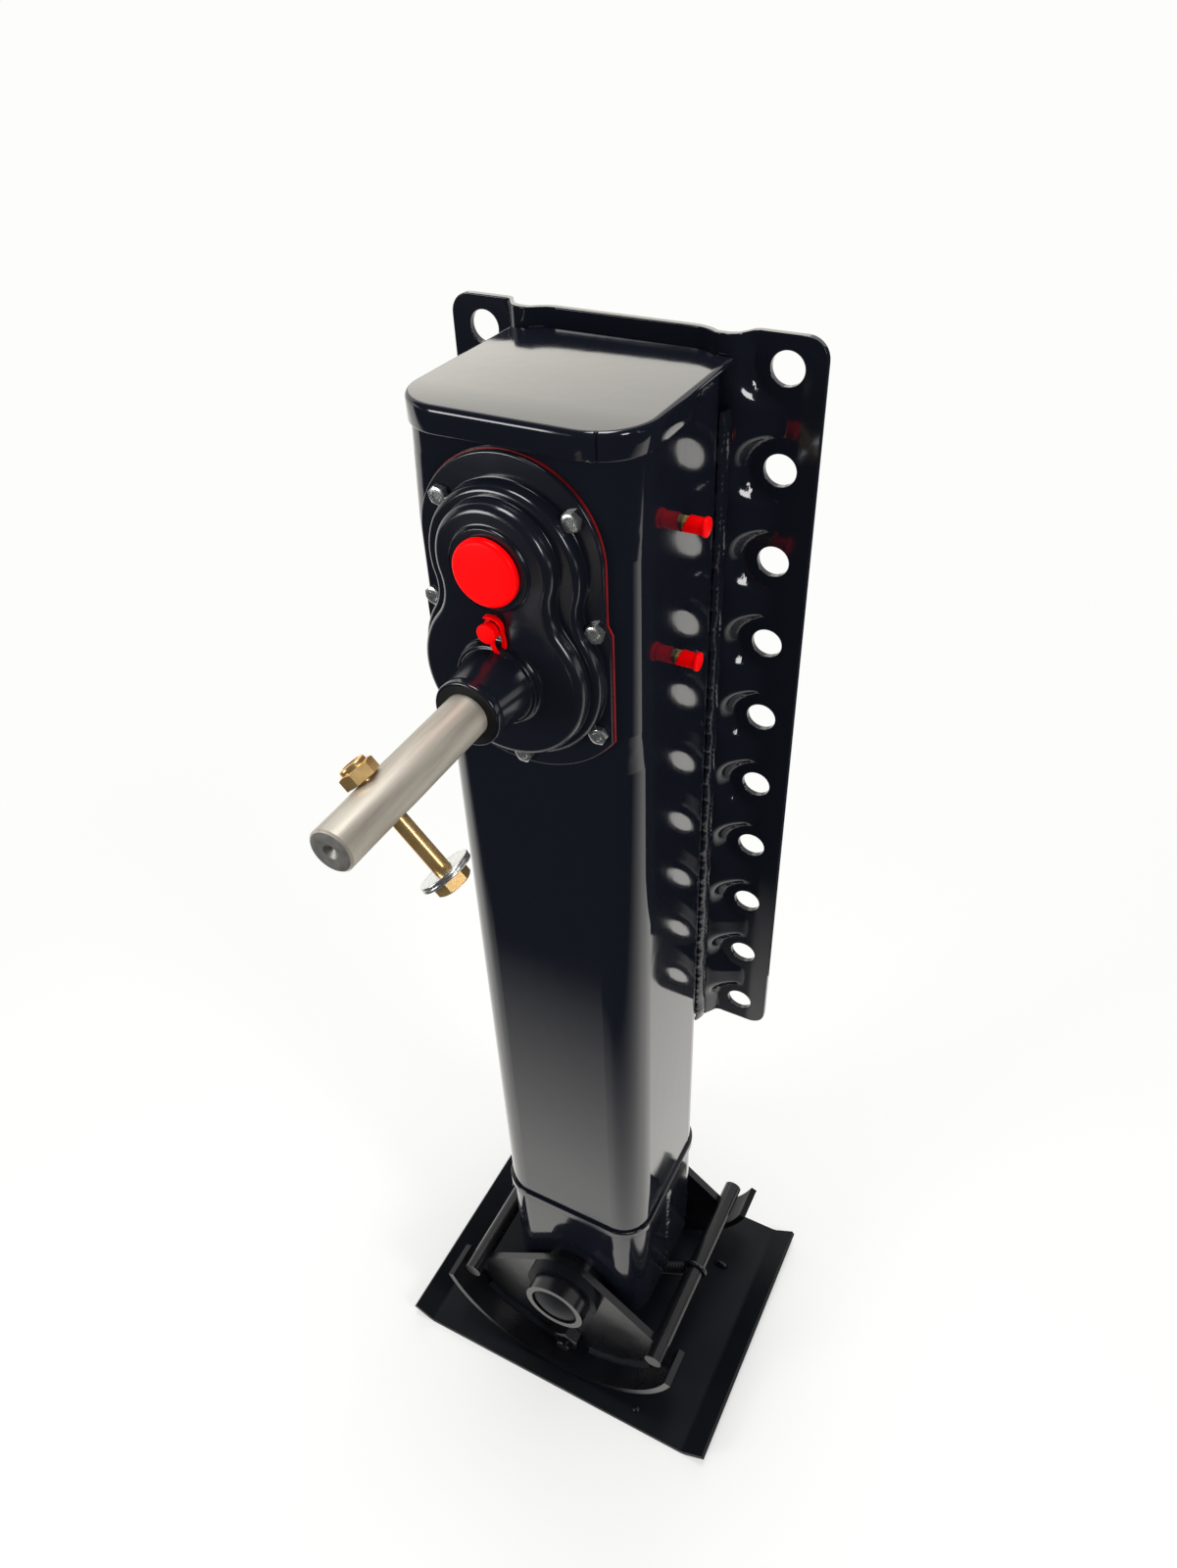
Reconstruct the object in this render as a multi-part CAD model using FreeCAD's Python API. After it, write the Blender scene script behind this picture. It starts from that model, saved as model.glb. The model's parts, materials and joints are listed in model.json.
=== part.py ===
import FreeCAD, Part
import math
import os

# Trailer landing gear leg, in millimetres. It stands along Z on the floor at z 0, the tube's axis is the Z
# axis, the crank side faces -Y and the mounting plate closes the back at +Y.

V = FreeCAD.Vector
X = V(1, 0, 0)
Y = V(0, 1, 0)
Z = V(0, 0, 1)

# Upper tube
tube_width = 116.0
tube_depth = 114.0
tube_wall = 6.0
tube_corner = 22.0
tube_bottom_z = 193.0
tube_top_z = 817.0
head_corner = 16.5
head_low_z = 640.0
head_high_z = 807.0
head_low_blend = 25.0
head_high_blend = 47.0
end_ring_height = 8.0
end_ring_proud = 2.0
end_ring_round = 1.2

# Top cover
top_thickness = 3.0
top_lip_drop = 10.0
top_lip_wall = 2.1
top_lip_clearance = 0.4
top_edge_round = 2.5
top_corner = 27.0
top_lip_end_gap = 17.0

# Mounting plate
plate_width = 203.0
plate_thickness = 4.0
plate_corner = 11.0
plate_step = 5.0
hole_rows = 10
hole_pitch = 50.0
hole_column_gap = 165.0
hole_radius = 8.5
top_hole_z = 811.0
plate_top_margin = 16.0
plate_bottom_margin = 18.0
ridge_rise = 10.0
ridge_shoulder = 1.0
ridge_slope_width = 24.0
ridge_round = 5.0
pocket_radius = 17.0
pocket_flare = 0.65
pocket_wall = 4.0
shaft_window_gap = 3.0
weld_size = 9.0
weld_leg = 3.0
weld_sink = 1.0
weld_bulge = 1.2
weld_end_gap = 14.0

# Gear train
gear_module = 2.5
gear_addendum_share = 0.9
gear_dedendum_share = 1.25
high_teeth = 29
output_teeth = 18
pinion_teeth = 12
low_teeth = 35
tooth_backlash = 0.4
gear_width = 8.0
gear_wall_gap = 1.0
pinion_side_gap = 0.75
low_width = 7.5
low_bevel_gap = 1.25
pressure_angle = math.radians(20)
bevel_wheel_teeth = 22
bevel_pinion_teeth = 11
bevel_face = 11.0
bevel_backlash = 0.5
bevel_rim = 4.0
bevel_addendum_share = 0.8
bevel_dedendum_share = 1.15
bevel_hub_drop = 12.0
bevel_pinion_wall = 10.25
bevel_pinion_hub_wall = 6.4
spline_clearance = 0.2
running_fit = 0.05
end_float = 0.2
crank_axis_z = 700.0
output_radius = 10.0
output_end_inset = 3.0

# Gear cover
gasket_thickness = 1.0
gasket_proud = 0.5
flange_thickness = 2.5
flange_head_radius = 47.0
flange_side = 49.5
flange_kink_rise = 26.0
flange_kink_height = 5.0
flange_chin_radius = 60.0
step_upper_radius = 35.0
step_lower_radius = 47.0
step_waist = 30.0
step_height = 8.5
step_round = 4.0
face_upper_radius = 30.0
face_lower_radius = 43.0
face_waist = 25.0
face_height = 17.0
face_round = 5.0
gear_tip_gap = 2.0
cover_wall = 4.0
hub_radius = 24.0
hub_seat_wall = 4.5
boss_root_radius = 21.5
boss_root_height = 4.5
boss_root_step = 2.0
boss_tip_radius = 17.0
boss_collar_step = 0.8
boss_collar_length = 5.0
boss_length = 30.0
bush_wall = 3.5
seal_depth = 3.0
seal_lip = 1.0
cap_seat_radius = 20.0
cap_seat_height = 1.5
red_cap_radius = 16.5
red_cap_height = 5.0
red_cap_round = 2.5
output_bush_wall = 4.0
output_bush_length = 7.0
rear_bush_wall = 5.0

# Cover bolts, x and height above the crank axis
bolt_pairs = [(33.5, 81.0), (43.0, 28.0), (43.0, -29.0)]
chin_bolt_drop = 54.0
cover_bolt_radius = 2.5
cover_bolt_flats = 8.0
cover_bolt_head = 3.5
cover_bolt_hole_gap = 0.3
cover_bolt_spot_gap = 0.6

# Grease nipples
nipple_hex_flats = 7.0
nipple_hex_height = 2.2
nipple_stem_radius = 2.2
nipple_neck_drop = 3.0
nipple_bead_drop = 2.0
nipple_bead = 0.5
nipple_cap_radius = 3.8
nipple_cap_rim = 4.6
nipple_cap_rim_height = 1.6
nipple_cap_wall = 1.6
nipple_cap_end_gap = 0.2
nipple_cap_side_gap = 0.6
nipple_thread_radius = 3.0
cover_nipple_height = 6.7
cover_nipple_rise = 30.0
side_nipple_height = 10.7

# Side nipples, y and height above the crank axis
side_nipple_spots = [(-3.7, -14.7), (1.5, 56.4)]

# Crank shaft and its cross bolt
crank_radius = 11.0
crank_reach = 151.0
crank_chamfer = 1.5
crank_end_radius = 10.7
crank_end_length = 24.0
crank_centre_radius = 3.5
crank_centre_depth = 5.0
crank_journal_radius = 8.0
crank_inner_depth = 20.0
cross_bolt_reach = 116.0
cross_bolt_angle = -48.3
cross_bolt_radius = 4.0
cross_hole_gap = 0.3
cross_bolt_grip = 42.0
cross_bolt_end_inset = 0.6
cross_nut_flats = 15.0
cross_nut_height = 6.5
cross_nut_collar = 2.2
cross_nut_collar_radius = 6.4
cross_nut_gap = 0.3
cross_head_flats = 15.0
cross_head_height = 6.0
cross_washer_radius = 12.8
cross_washer_thickness = 1.6
bracket_width = 36.0
bracket_thickness = 6.0
bracket_depth = 23.0
bracket_head_rise = 12.0

# Spindle
spindle_thread_radius = 19.0
spindle_journal_radius = 14.0
spindle_neck_radius = 11.0
spindle_bottom_z = 225.0
spindle_end_gap = 3.0
stop_collar_radius = 25.0
stop_collar_height = 10.0
bearing_plate_drop = 21.0
bearing_plate_thickness = 8.0
thrust_radius = 26.0
thrust_thickness = 10.0
thrust_gap = 0.1
collar_radius = 24.0
collar_thickness = 8.0
spacer_wall = 5.0

# Lower leg
leg_clearance = 0.75
leg_wall = 5.0
leg_top_gap = 5.0
leg_bottom_z = 82.0
nut_height = 40.0
socket_gap = 1.0
socket_bottom_z = 76.0
seam_width = 8.0
seam_proud = 1.2
seam_inset = 4.0
axle_z = 108.0
axle_radius = 25.0
axle_wall = 5.0
axle_overhang = 21.0
plug_recess = 5.0
plug_thickness = 3.0
plug_dome = 3.5
anchor_width = 56.0
anchor_thickness = 8.0
anchor_bottom_z = 40.0

# Rocker foot
cheek_gap = 7.0
cheek_thickness = 6.0
hump_radius = 30.5
collar_ring_radius = 31.0
collar_ring_height = 8.0
rod_x = 83.0
rod_z = 83.0
rod_radius = 7.0
rod_overhang = 14.0
rod_seat_depth = 3.0
sole_radius = 108.0
sole_thickness = 5.0
sole_width = 29.0
sole_half_length = 102.0
sole_floor_gap = 1.0
foot_weld_size = 5.0
foot_weld_start_x = 17.0
foot_weld_end_x = 76.0
shoe_bolt_z = 27.0
shoe_bolt_radius = 6.0
shoe_bolt_flats = 18.0
shoe_bolt_head = 7.5
shoe_nut_height = 10.0
shoe_bolt_tail = 5.0
spring_radius = 5.5
spring_wire = 1.6
spring_hook_gap = 0.3
spring_anchor_gap = 6.0
spring_anchor_rise = 7.0

# Shoe plate
shoe_half_length = 138.0
shoe_depth = 212.0
shoe_thickness = 4.0
shoe_end_length = 21.0
shoe_bend_radius = 12.0
shoe_bend_angle = 32.0
shoe_corner = 1.5
lug_thickness = 8.0
lug_radius = 14.0
lug_cheek_gap = 4.0
lug_fit = 0.08

# Worked-out places shared by several pieces
bolt_places = bolt_pairs + [(-x, rise) for x, rise in bolt_pairs] + [(0.0, -chin_bolt_drop)]
wall_cut = 2 * tube_wall
tube_front = -tube_depth / 2
tube_back = tube_depth / 2
tube_side = tube_width / 2
bore_width = tube_width - 2 * tube_wall
bore_depth = tube_depth - 2 * tube_wall
bore_corner = tube_corner - tube_wall
output_axis_z = crank_axis_z + gear_module * (high_teeth + output_teeth) / 2
flange_front = tube_back + plate_step
mount_plane = flange_front + plate_thickness
ridge_front = flange_front - ridge_rise
pocket_front_y = ridge_front - plate_thickness
flange_y = tube_front - gasket_thickness - flange_thickness
step_y = flange_y - step_height
face_y = flange_y - face_height
boss_tip_y = face_y - boss_length
crank_inner_y = tube_front + crank_inner_depth
bracket_back_y = tube_front + bracket_depth
gear_back_y = tube_front - gear_wall_gap
gear_front_y = gear_back_y - gear_width
low_front_y = gear_back_y + gear_width + 2 * pinion_side_gap
low_back_y = low_front_y + low_width
boss_bore = crank_radius + bush_wall
output_bush_radius = output_radius + output_bush_wall
bearing_top_z = crank_axis_z - bearing_plate_drop
bearing_bottom_z = bearing_top_z - bearing_plate_thickness
thrust_bottom_z = bearing_bottom_z - thrust_thickness
collar_top_z = thrust_bottom_z - thrust_gap
collar_bottom_z = collar_top_z - collar_thickness
leg_top_z = collar_bottom_z - leg_top_gap
leg_width = bore_width - 2 * leg_clearance
leg_depth = bore_depth - 2 * leg_clearance
leg_corner = bore_corner - leg_clearance
cheek_inner = tube_back + cheek_gap
cheek_outer = cheek_inner + cheek_thickness
sole_centre_z = shoe_thickness + sole_floor_gap + sole_radius
axle_half = cheek_outer + axle_overhang
shoe_flat_half = shoe_half_length - shoe_end_length

# Bevel pair: the wheel fills the room between the low gear wheel and the spindle axis, and the output shaft
# is turned down behind the low gear wheel to carry the pinion
bevel_wheel_angle = math.atan2(bevel_wheel_teeth, bevel_pinion_teeth)
bevel_module = (-low_back_y - low_bevel_gap) / (
    bevel_wheel_teeth / 2 + bevel_addendum_share * math.cos(bevel_wheel_angle))
output_seat_radius = bevel_module * bevel_pinion_teeth / 2 - bevel_pinion_wall
rear_bush_radius = output_seat_radius + rear_bush_wall


def block(x0, x1, y0, y1, z0, z1):
    """Box between two corners."""
    return Part.makeBox(x1 - x0, y1 - y0, z1 - z0, V(x0, y0, z0))


def rod(radius, start, end):
    """Round bar from one point to another."""
    run = end - start
    return Part.makeCylinder(radius, run.Length, start, run)


def sleeve(outer, inner, start, end):
    """Round tube from one point to another."""
    return rod(outer, start, end).cut(rod(inner, start, end))


def turned(profile, base, axis):
    """Solid turned about an axis from (radius, distance along the axis) pairs."""
    across = Z if abs(axis.x) > 0.5 else X
    points = [base + axis * along + across * radius for radius, along in profile]
    face = Part.Face(Part.makePolygon(points + points[:1]))
    return face.revolve(base, axis, 360)


def hexagon(flats, start, end, turn=0.0):
    """Six-sided prism from one point to another, given across flats and turned by degrees about its axis."""
    run = end - start
    axis = run.normalize()
    length = (end - start).Length
    across = Z if abs(axis.z) < 0.5 else X
    side = axis.cross(across).normalize()
    up = side.cross(axis)
    corner = flats / math.sqrt(3)
    points = []
    for step in range(7):
        angle = math.radians(60 * step + turn)
        points.append(start + side * (corner * math.cos(angle)) + up * (corner * math.sin(angle)))
    return Part.Face(Part.makePolygon(points)).extrude(axis * length)


def rounded_wire(width, depth, front_corner, back_corner, z):
    """Rectangle about the Z axis with its own corner radius at the front and at the back."""
    half_x = width / 2
    half_y = depth / 2
    corners = [(1, -1, front_corner), (1, 1, back_corner), (-1, 1, back_corner), (-1, -1, front_corner)]
    arcs = []
    for number, (sx, sy, radius) in enumerate(corners):
        centre = V(sx * (half_x - radius), sy * (half_y - radius), z)
        turn = math.radians(-90 + 90 * number)
        arc = []
        for step in (0, 45, 90):
            angle = turn + math.radians(step)
            arc.append(centre + V(radius * math.cos(angle), radius * math.sin(angle), 0))
        arcs.append(arc)
    edges = []
    for number, arc in enumerate(arcs):
        edges.append(Part.Arc(*arc).toShape())
        edges.append(Part.LineSegment(arc[2], arcs[(number + 1) % 4][0]).toShape())
    return Part.Wire(edges)


def rounded_prism(width, depth, corner, z0, z1):
    """Upright prism with a rounded square section."""
    return Part.Face(rounded_wire(width, depth, corner, corner, z0)).extrude(Z * (z1 - z0))


def arc_by_angles(x, y, z, radius, start, end):
    """Arc in the XZ plane at a depth y, angles in degrees from +X towards +Z."""
    points = []
    for angle in (start, (start + end) / 2, end):
        turn = math.radians(angle)
        points.append(V(x + radius * math.cos(turn), y, z + radius * math.sin(turn)))
    return Part.Arc(*points).toShape()


def pear_prism(upper, lower, waist, y0, y1):
    """Prism along Y with a round lobe about each gear axis and a hollow waist fillet between them."""
    gap = output_axis_z - crank_axis_z
    reach_upper = upper + waist
    reach_lower = lower + waist
    rise = (gap * gap + reach_lower ** 2 - reach_upper ** 2) / (2 * gap)
    side = math.sqrt(reach_lower ** 2 - rise ** 2)
    upper_angle = math.degrees(math.atan2(rise - gap, side))
    lower_angle = math.degrees(math.atan2(rise, side))
    waist_z = crank_axis_z + rise
    edges = [
        arc_by_angles(0, y0, output_axis_z, upper, upper_angle, 180 - upper_angle),
        arc_by_angles(-side, y0, waist_z, waist, -upper_angle, -lower_angle),
        arc_by_angles(0, y0, crank_axis_z, lower, 180 - lower_angle, 360 + lower_angle),
        arc_by_angles(side, y0, waist_z, waist, 180 + lower_angle, 180 + upper_angle),
    ]
    return Part.Face(Part.Wire(edges)).extrude(Y * (y1 - y0))


def round_front(solid, y, radius):
    """Rounds the edges that lie in the plane at a depth y."""
    edges = []
    for edge in solid.Edges:
        box = edge.BoundBox
        if box.YLength < 1e-6 and abs(box.YMin - y) < 1e-6:
            edges.append(edge)
    return solid.makeFillet(radius, edges)


def mirrored_x(solid):
    """The same piece on the other side of the leg's middle plane."""
    return solid.mirror(V(0, 0, 0), X)


def mirrored_y(solid):
    """The same piece at the other end of the foot."""
    return solid.mirror(V(0, 0, 0), Y)


def group(solids):
    """Several separate solids in one node."""
    return Part.makeCompound(solids)


def involute(angle):
    """Involute function of a pressure angle."""
    return math.tan(angle) - angle


def half_tooth_angle(radius, pitch_radius, half_thickness):
    """Angle from a tooth's middle to its flank at a radius, for an involute tooth."""
    base_radius = pitch_radius * math.cos(pressure_angle)
    flank = math.acos(min(1.0, base_radius / radius))
    return half_thickness / pitch_radius + involute(pressure_angle) - involute(flank)


def spur_wheel(teeth, axis_z, y0, y1, first_tooth, grow=0.0):
    """Spur gear about an axis along Y, its first tooth at an angle in degrees. grow widens the outline."""
    pitch_radius = gear_module * teeth / 2
    root = pitch_radius - gear_dedendum_share * gear_module + grow
    tip = pitch_radius + gear_addendum_share * gear_module + grow
    half_thickness = math.pi * gear_module / 4 - tooth_backlash / 4 + grow
    points = []
    for tooth in range(teeth):
        middle = math.radians(first_tooth + 360 * tooth / teeth)
        flank = [(root, half_tooth_angle(root, pitch_radius, half_thickness))]
        for radius in (pitch_radius, tip):
            flank.append((radius, half_tooth_angle(radius, pitch_radius, half_thickness)))
        outline = [(radius, middle - angle) for radius, angle in flank]
        outline += [(radius, middle + angle) for radius, angle in reversed(flank)]
        for radius, angle in outline:
            points.append(V(radius * math.cos(angle), y0, axis_z + radius * math.sin(angle)))
    return Part.Face(Part.makePolygon(points + points[:1])).extrude(Y * (y1 - y0))


def bevel_gear(teeth, mate_teeth, axis, first_tooth, hub_depth, hub_radius_at_back, bore):
    """Straight bevel gear with its apex on the output axis above the spindle.

    The blank is turned about the axis that leaves the apex, and the tooth gaps are wedges that run to the
    apex.
    first_tooth is the direction of a tooth's middle, and hub_depth is the distance from the apex to the
    hub's back.
    """
    apex = V(0, 0, output_axis_z)
    cone = math.atan2(teeth, mate_teeth)
    pitch_radius = bevel_module * teeth / 2
    pitch_depth = bevel_module * mate_teeth / 2
    cone_length = math.hypot(pitch_radius, pitch_depth)
    inner_share = (cone_length - bevel_face) / cone_length

    def at_height(height, share):
        radius = pitch_radius + height * math.cos(cone)
        depth = pitch_depth - height * math.sin(cone)
        return radius * share, depth * share

    tip = bevel_addendum_share * bevel_module
    root = -bevel_dedendum_share * bevel_module
    inner_root = at_height(root, inner_share)
    rim = at_height(root - bevel_rim, 1.0)
    blank = turned([
        at_height(tip, 1.0), at_height(tip, inner_share), inner_root, (bore, inner_root[1]),
        (bore, hub_depth), (hub_radius_at_back, hub_depth), (hub_radius_at_back, min(rim[1], hub_depth)), rim,
    ], apex, axis)

    virtual_radius = pitch_radius / math.cos(cone)
    half_gap = math.pi * math.cos(cone) / teeth
    half_thickness = math.pi * bevel_module / 4 - bevel_backlash / 4
    side = []
    for height in (root, 0.0, tip + bevel_module):
        radius = virtual_radius + height
        opening = half_gap - half_tooth_angle(radius, virtual_radius, half_thickness)
        side.append((radius * math.sin(opening), radius * math.cos(opening) - virtual_radius))
    section = [(-across, height) for across, height in side] + [(a, height) for a, height in reversed(side)]

    gap_start_share = 0.9
    gap_end_share = 1.12
    wedges = []
    for gap in range(teeth):
        turn = FreeCAD.Rotation(axis, 360 * (gap + 0.5) / teeth)
        out = turn.multVec(first_tooth)
        sideways = axis.cross(out)
        wires = []
        for share in (inner_share * gap_start_share, gap_end_share):
            points = []
            for across, height in section:
                radius, depth = at_height(height, share)
                points.append(apex + out * radius + axis * depth + sideways * (across * share))
            wires.append(Part.makePolygon(points + points[:1]))
        wedges.append(Part.makeLoft(wires, True, True))
    return blank.cut(wedges)


def save(name, shape):
    """Writes one node."""
    shape.exportStep("parts/" + name + ".step")


# Upper tube, with its front corners pressed out behind the gear cover
def make_tube_body(inset):
    """Solid inside the tube's outer faces, or inside its bore when it is inset by the wall."""
    sections = []
    for front_corner, z in [
        (tube_corner, tube_bottom_z),
        (tube_corner, head_low_z),
        (head_corner, head_low_z + head_low_blend),
        (head_corner, head_high_z - head_high_blend),
        (tube_corner, head_high_z),
        (tube_corner, tube_top_z),
    ]:
        sections.append(rounded_wire(tube_width - 2 * inset, tube_depth - 2 * inset, front_corner - inset,
                                     tube_corner - inset, z))
    return Part.makeLoft(sections, True, True)


def make_upper_tube():
    shell = make_tube_body(0.0).cut(make_tube_body(tube_wall))
    window = pear_prism(output_bush_radius + cover_wall, hub_radius, step_waist, tube_front,
                        tube_front + wall_cut)
    rear = V(0, tube_back, output_axis_z)
    cuts = [window, rod(rear_bush_radius, rear - Y * wall_cut, rear)]
    for x, rise in bolt_places:
        start = V(x, tube_front, crank_axis_z + rise)
        cuts.append(rod(cover_bolt_radius, start, start + Y * wall_cut))
    for y, rise in side_nipple_spots:
        start = V(tube_side - tube_wall, y, crank_axis_z + rise)
        cuts.append(rod(nipple_thread_radius, start, start + X * tube_wall))
    return shell.cut(cuts)


def make_end_ring():
    outer = rounded_prism(tube_width + 2 * end_ring_proud, tube_depth + 2 * end_ring_proud,
                          tube_corner + end_ring_proud, tube_bottom_z, tube_bottom_z + end_ring_height)
    rims = [edge for edge in outer.Edges if edge.BoundBox.ZLength < 1e-6]
    outer = outer.makeFillet(end_ring_round, rims)
    inner = rounded_prism(tube_width, tube_depth, tube_corner, tube_bottom_z, tube_bottom_z + end_ring_height)
    return outer.cut(inner)


# Top cover: a flat lid whose lip turns down over the front and the sides
def make_top_cover(plate):
    grow = 2 * (top_lip_clearance + top_lip_wall)
    top_z = tube_top_z + top_thickness
    lip_z = tube_top_z - top_lip_drop
    lid = rounded_prism(tube_width + grow, tube_depth + grow, top_corner, lip_z, top_z)
    top_edges = [edge for edge in lid.Edges if abs(edge.BoundBox.ZMin - top_z) < 1e-6]
    lid = lid.makeFillet(top_edge_round, top_edges)
    room = rounded_prism(tube_width + 2 * top_lip_clearance, tube_depth + 2 * top_lip_clearance,
                         tube_corner + top_lip_clearance, lip_z, tube_top_z)
    past_plate = block(-tube_width, tube_width, tube_back, tube_depth, lip_z, top_z)
    lip_end = block(-tube_width, tube_width, tube_back - top_lip_end_gap, tube_depth, lip_z, tube_top_z)
    return lid.cut([room, past_plate, lip_end, plate])


# Mounting plate: a pressed sheet that hugs the back of the tube, with a ridge on each side and flat outer
# flanges, and with a flared pocket round each hole
def ridge_edge(offset):
    """Edge of one side of the sheet, from the middle plane out, moved back by an offset."""
    corner_x = tube_side - tube_corner
    corner_y = tube_back - tube_corner
    hug = tube_corner + offset
    crest_y = ridge_front + offset
    leave = math.asin((crest_y - corner_y) / hug)
    arc = []
    for angle in (math.pi / 2, (math.pi / 2 + leave) / 2, leave):
        arc.append(V(corner_x + hug * math.cos(angle), corner_y + hug * math.sin(angle), 0))
    slope = math.atan2(ridge_rise, ridge_slope_width)
    shift = offset * math.tan(slope / 2)
    crest_end = tube_side + ridge_shoulder - shift
    foot = crest_end + ridge_slope_width
    return arc, V(crest_end, crest_y, 0), V(foot, flange_front + offset, 0)


def side_profile(back_points):
    """Closed outline of the right half of the plate: the front edge, then the given way back."""
    arc, crest, foot = ridge_edge(0.0)
    outer = plate_width / 2
    edges = [
        Part.LineSegment(V(0, tube_back, 0), arc[0]).toShape(),
        Part.Arc(*arc).toShape(),
        Part.LineSegment(arc[2], crest).toShape(),
        Part.LineSegment(crest, foot).toShape(),
        Part.LineSegment(foot, V(outer, flange_front, 0)).toShape(),
    ]
    chain = [V(outer, flange_front, 0)] + back_points
    for start, end in zip(chain, chain[1:]):
        edges.append(Part.LineSegment(start, end).toShape())
    return edges


def round_ridge(solid):
    """Rounds the upright edges between the tube's side and the plate's outer edge."""
    edges = []
    for edge in solid.Edges:
        box = edge.BoundBox
        upright = box.XLength < 1e-6 and box.YLength < 1e-6
        if upright and tube_side - ridge_shoulder < box.XMin < plate_width / 2 - ridge_shoulder:
            edges.append(edge)
    return solid.makeFillet(ridge_round, edges)


def round_pocket(z, grow, back_y):
    """Flared room round one hole, from the flange forward past the ridge, and straight back to a depth."""
    hole_x = hole_column_gap / 2
    depth = flange_front - pocket_front_y
    radius = pocket_radius + grow
    room = Part.makeCone(radius, radius + pocket_flare * depth, depth, V(hole_x, flange_front, z), -Y)
    if back_y > flange_front:
        room = room.fuse(rod(radius, V(hole_x, flange_front, z), V(hole_x, back_y, z)))
    return room


def end_pocket(z0, z1, grow, back_y):
    """The same room carried straight on to an end of the plate."""
    inner = hole_column_gap / 2 - pocket_radius - grow
    outer = plate_width / 2
    flared = inner - pocket_flare * (flange_front - pocket_front_y)
    points = [V(inner, flange_front, z0), V(flared, pocket_front_y, z0), V(outer, pocket_front_y, z0),
              V(outer, back_y, z0)]
    if back_y > flange_front:
        points.append(V(inner, back_y, z0))
    return Part.Face(Part.makePolygon(points + points[:1])).extrude(Z * (z1 - z0))


def make_mounting_plate():
    bottom_hole_z = top_hole_z - (hole_rows - 1) * hole_pitch
    bottom_z = bottom_hole_z - plate_bottom_margin
    top_z = top_hole_z + plate_top_margin
    outer = plate_width / 2
    arc, crest, foot = ridge_edge(plate_thickness)
    edges = side_profile([V(outer, mount_plane, 0), foot, crest, arc[2]])
    edges.append(Part.Arc(arc[2], arc[1], arc[0]).toShape())
    edges.append(Part.LineSegment(arc[0], V(0, tube_back + plate_thickness, 0)).toShape())
    edges.append(Part.LineSegment(V(0, tube_back + plate_thickness, 0), V(0, tube_back, 0)).toShape())
    sheet = Part.Face(Part.Wire(edges)).extrude(Z * (top_z - bottom_z))
    sheet = round_ridge(sheet)
    solid_edges = side_profile([V(outer, mount_plane, 0), V(0, mount_plane, 0), V(0, tube_back, 0)])
    filled = Part.Face(Part.Wire(solid_edges)).extrude(Z * (top_z - bottom_z))
    filled = round_ridge(filled)
    sheet.translate(Z * bottom_z)
    filled.translate(Z * bottom_z)

    hole_x = hole_column_gap / 2
    recesses = []
    floors = []
    holes = []
    for row in range(hole_rows):
        z = top_hole_z - row * hole_pitch
        recesses.append(round_pocket(z, 0.0, flange_front))
        floors.append(round_pocket(z, pocket_wall, mount_plane))
        holes.append(rod(hole_radius, V(hole_x, pocket_front_y, z), V(hole_x, mount_plane, z)))
    for z0, z1 in [(top_hole_z, top_z), (bottom_z, bottom_hole_z)]:
        recesses.append(end_pocket(z0, z1, 0.0, flange_front))
        floors.append(end_pocket(z0, z1, pocket_wall, mount_plane))
    half = sheet.fuse([filled.common(floor) for floor in floors]).cut(recesses + holes)
    plate = half.fuse(mirrored_x(half)).removeSplitter()
    trim = Part.makeBox(plate_width, tube_depth, top_z - bottom_z, V(-outer, 0, bottom_z))
    upright = [edge for edge in trim.Edges if edge.BoundBox.YLength > 1]
    window_radius = rear_bush_radius + shaft_window_gap
    window = rod(window_radius, V(0, 0, output_axis_z), V(0, mount_plane, output_axis_z))
    return plate.common(trim.makeFillet(plate_corner, upright)).cut(window)


def make_plate_welds(plate):
    """Fillet welds in the corner between the tube's sides and the ridges."""
    bottom_z = top_hole_z - (hole_rows - 1) * hole_pitch - plate_bottom_margin
    height = tube_top_z - top_lip_drop - weld_end_gap - bottom_z
    low = V(tube_side, ridge_front - weld_size, bottom_z)
    high = V(tube_side + weld_leg, ridge_front + weld_sink, bottom_z)
    middle = (low + high) * 0.5 + V(weld_bulge, 0, 0)
    inner_top = V(tube_side - tube_corner / 2, ridge_front + weld_sink, bottom_z)
    inner_low = V(tube_side - tube_corner / 2, ridge_front - weld_size, bottom_z)
    edges = [
        Part.Arc(low, middle, high).toShape(),
        Part.LineSegment(high, inner_top).toShape(),
        Part.LineSegment(inner_top, inner_low).toShape(),
        Part.LineSegment(inner_low, low).toShape(),
    ]
    bead = Part.Face(Part.Wire(edges)).extrude(Z * height)
    tube = rounded_prism(tube_width, tube_depth, tube_corner, bottom_z, bottom_z + height)
    bead = bead.cut([tube, plate])
    return group([bead, mirrored_x(bead)])


# Gear cover
def flange_prism(grow, y0, y1):
    """Outline of the cover's flange: a round head, straight sides with a small kink, and a round chin."""
    head = flange_head_radius + grow
    side = flange_side + grow
    kink_z = crank_axis_z + flange_kink_rise
    chin = flange_chin_radius + grow
    foot_angle = math.degrees(math.acos(side / chin))
    foot_z = crank_axis_z - math.sqrt(chin ** 2 - side ** 2)
    points = [(head, output_axis_z), (head, kink_z + flange_kink_height), (side, kink_z), (side, foot_z)]
    right = [V(x, y0, z) for x, z in points]
    left = [V(-x, y0, z) for x, z in reversed(points)]
    edges = [arc_by_angles(0, y0, output_axis_z, head, 180, 0)]
    for start, end in zip(right, right[1:]):
        edges.append(Part.LineSegment(start, end).toShape())
    edges.append(arc_by_angles(0, y0, crank_axis_z, chin, -foot_angle, -180 + foot_angle))
    for start, end in zip(left, left[1:]):
        edges.append(Part.LineSegment(start, end).toShape())
    return Part.Face(Part.Wire(edges)).extrude(Y * (y1 - y0))


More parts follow.
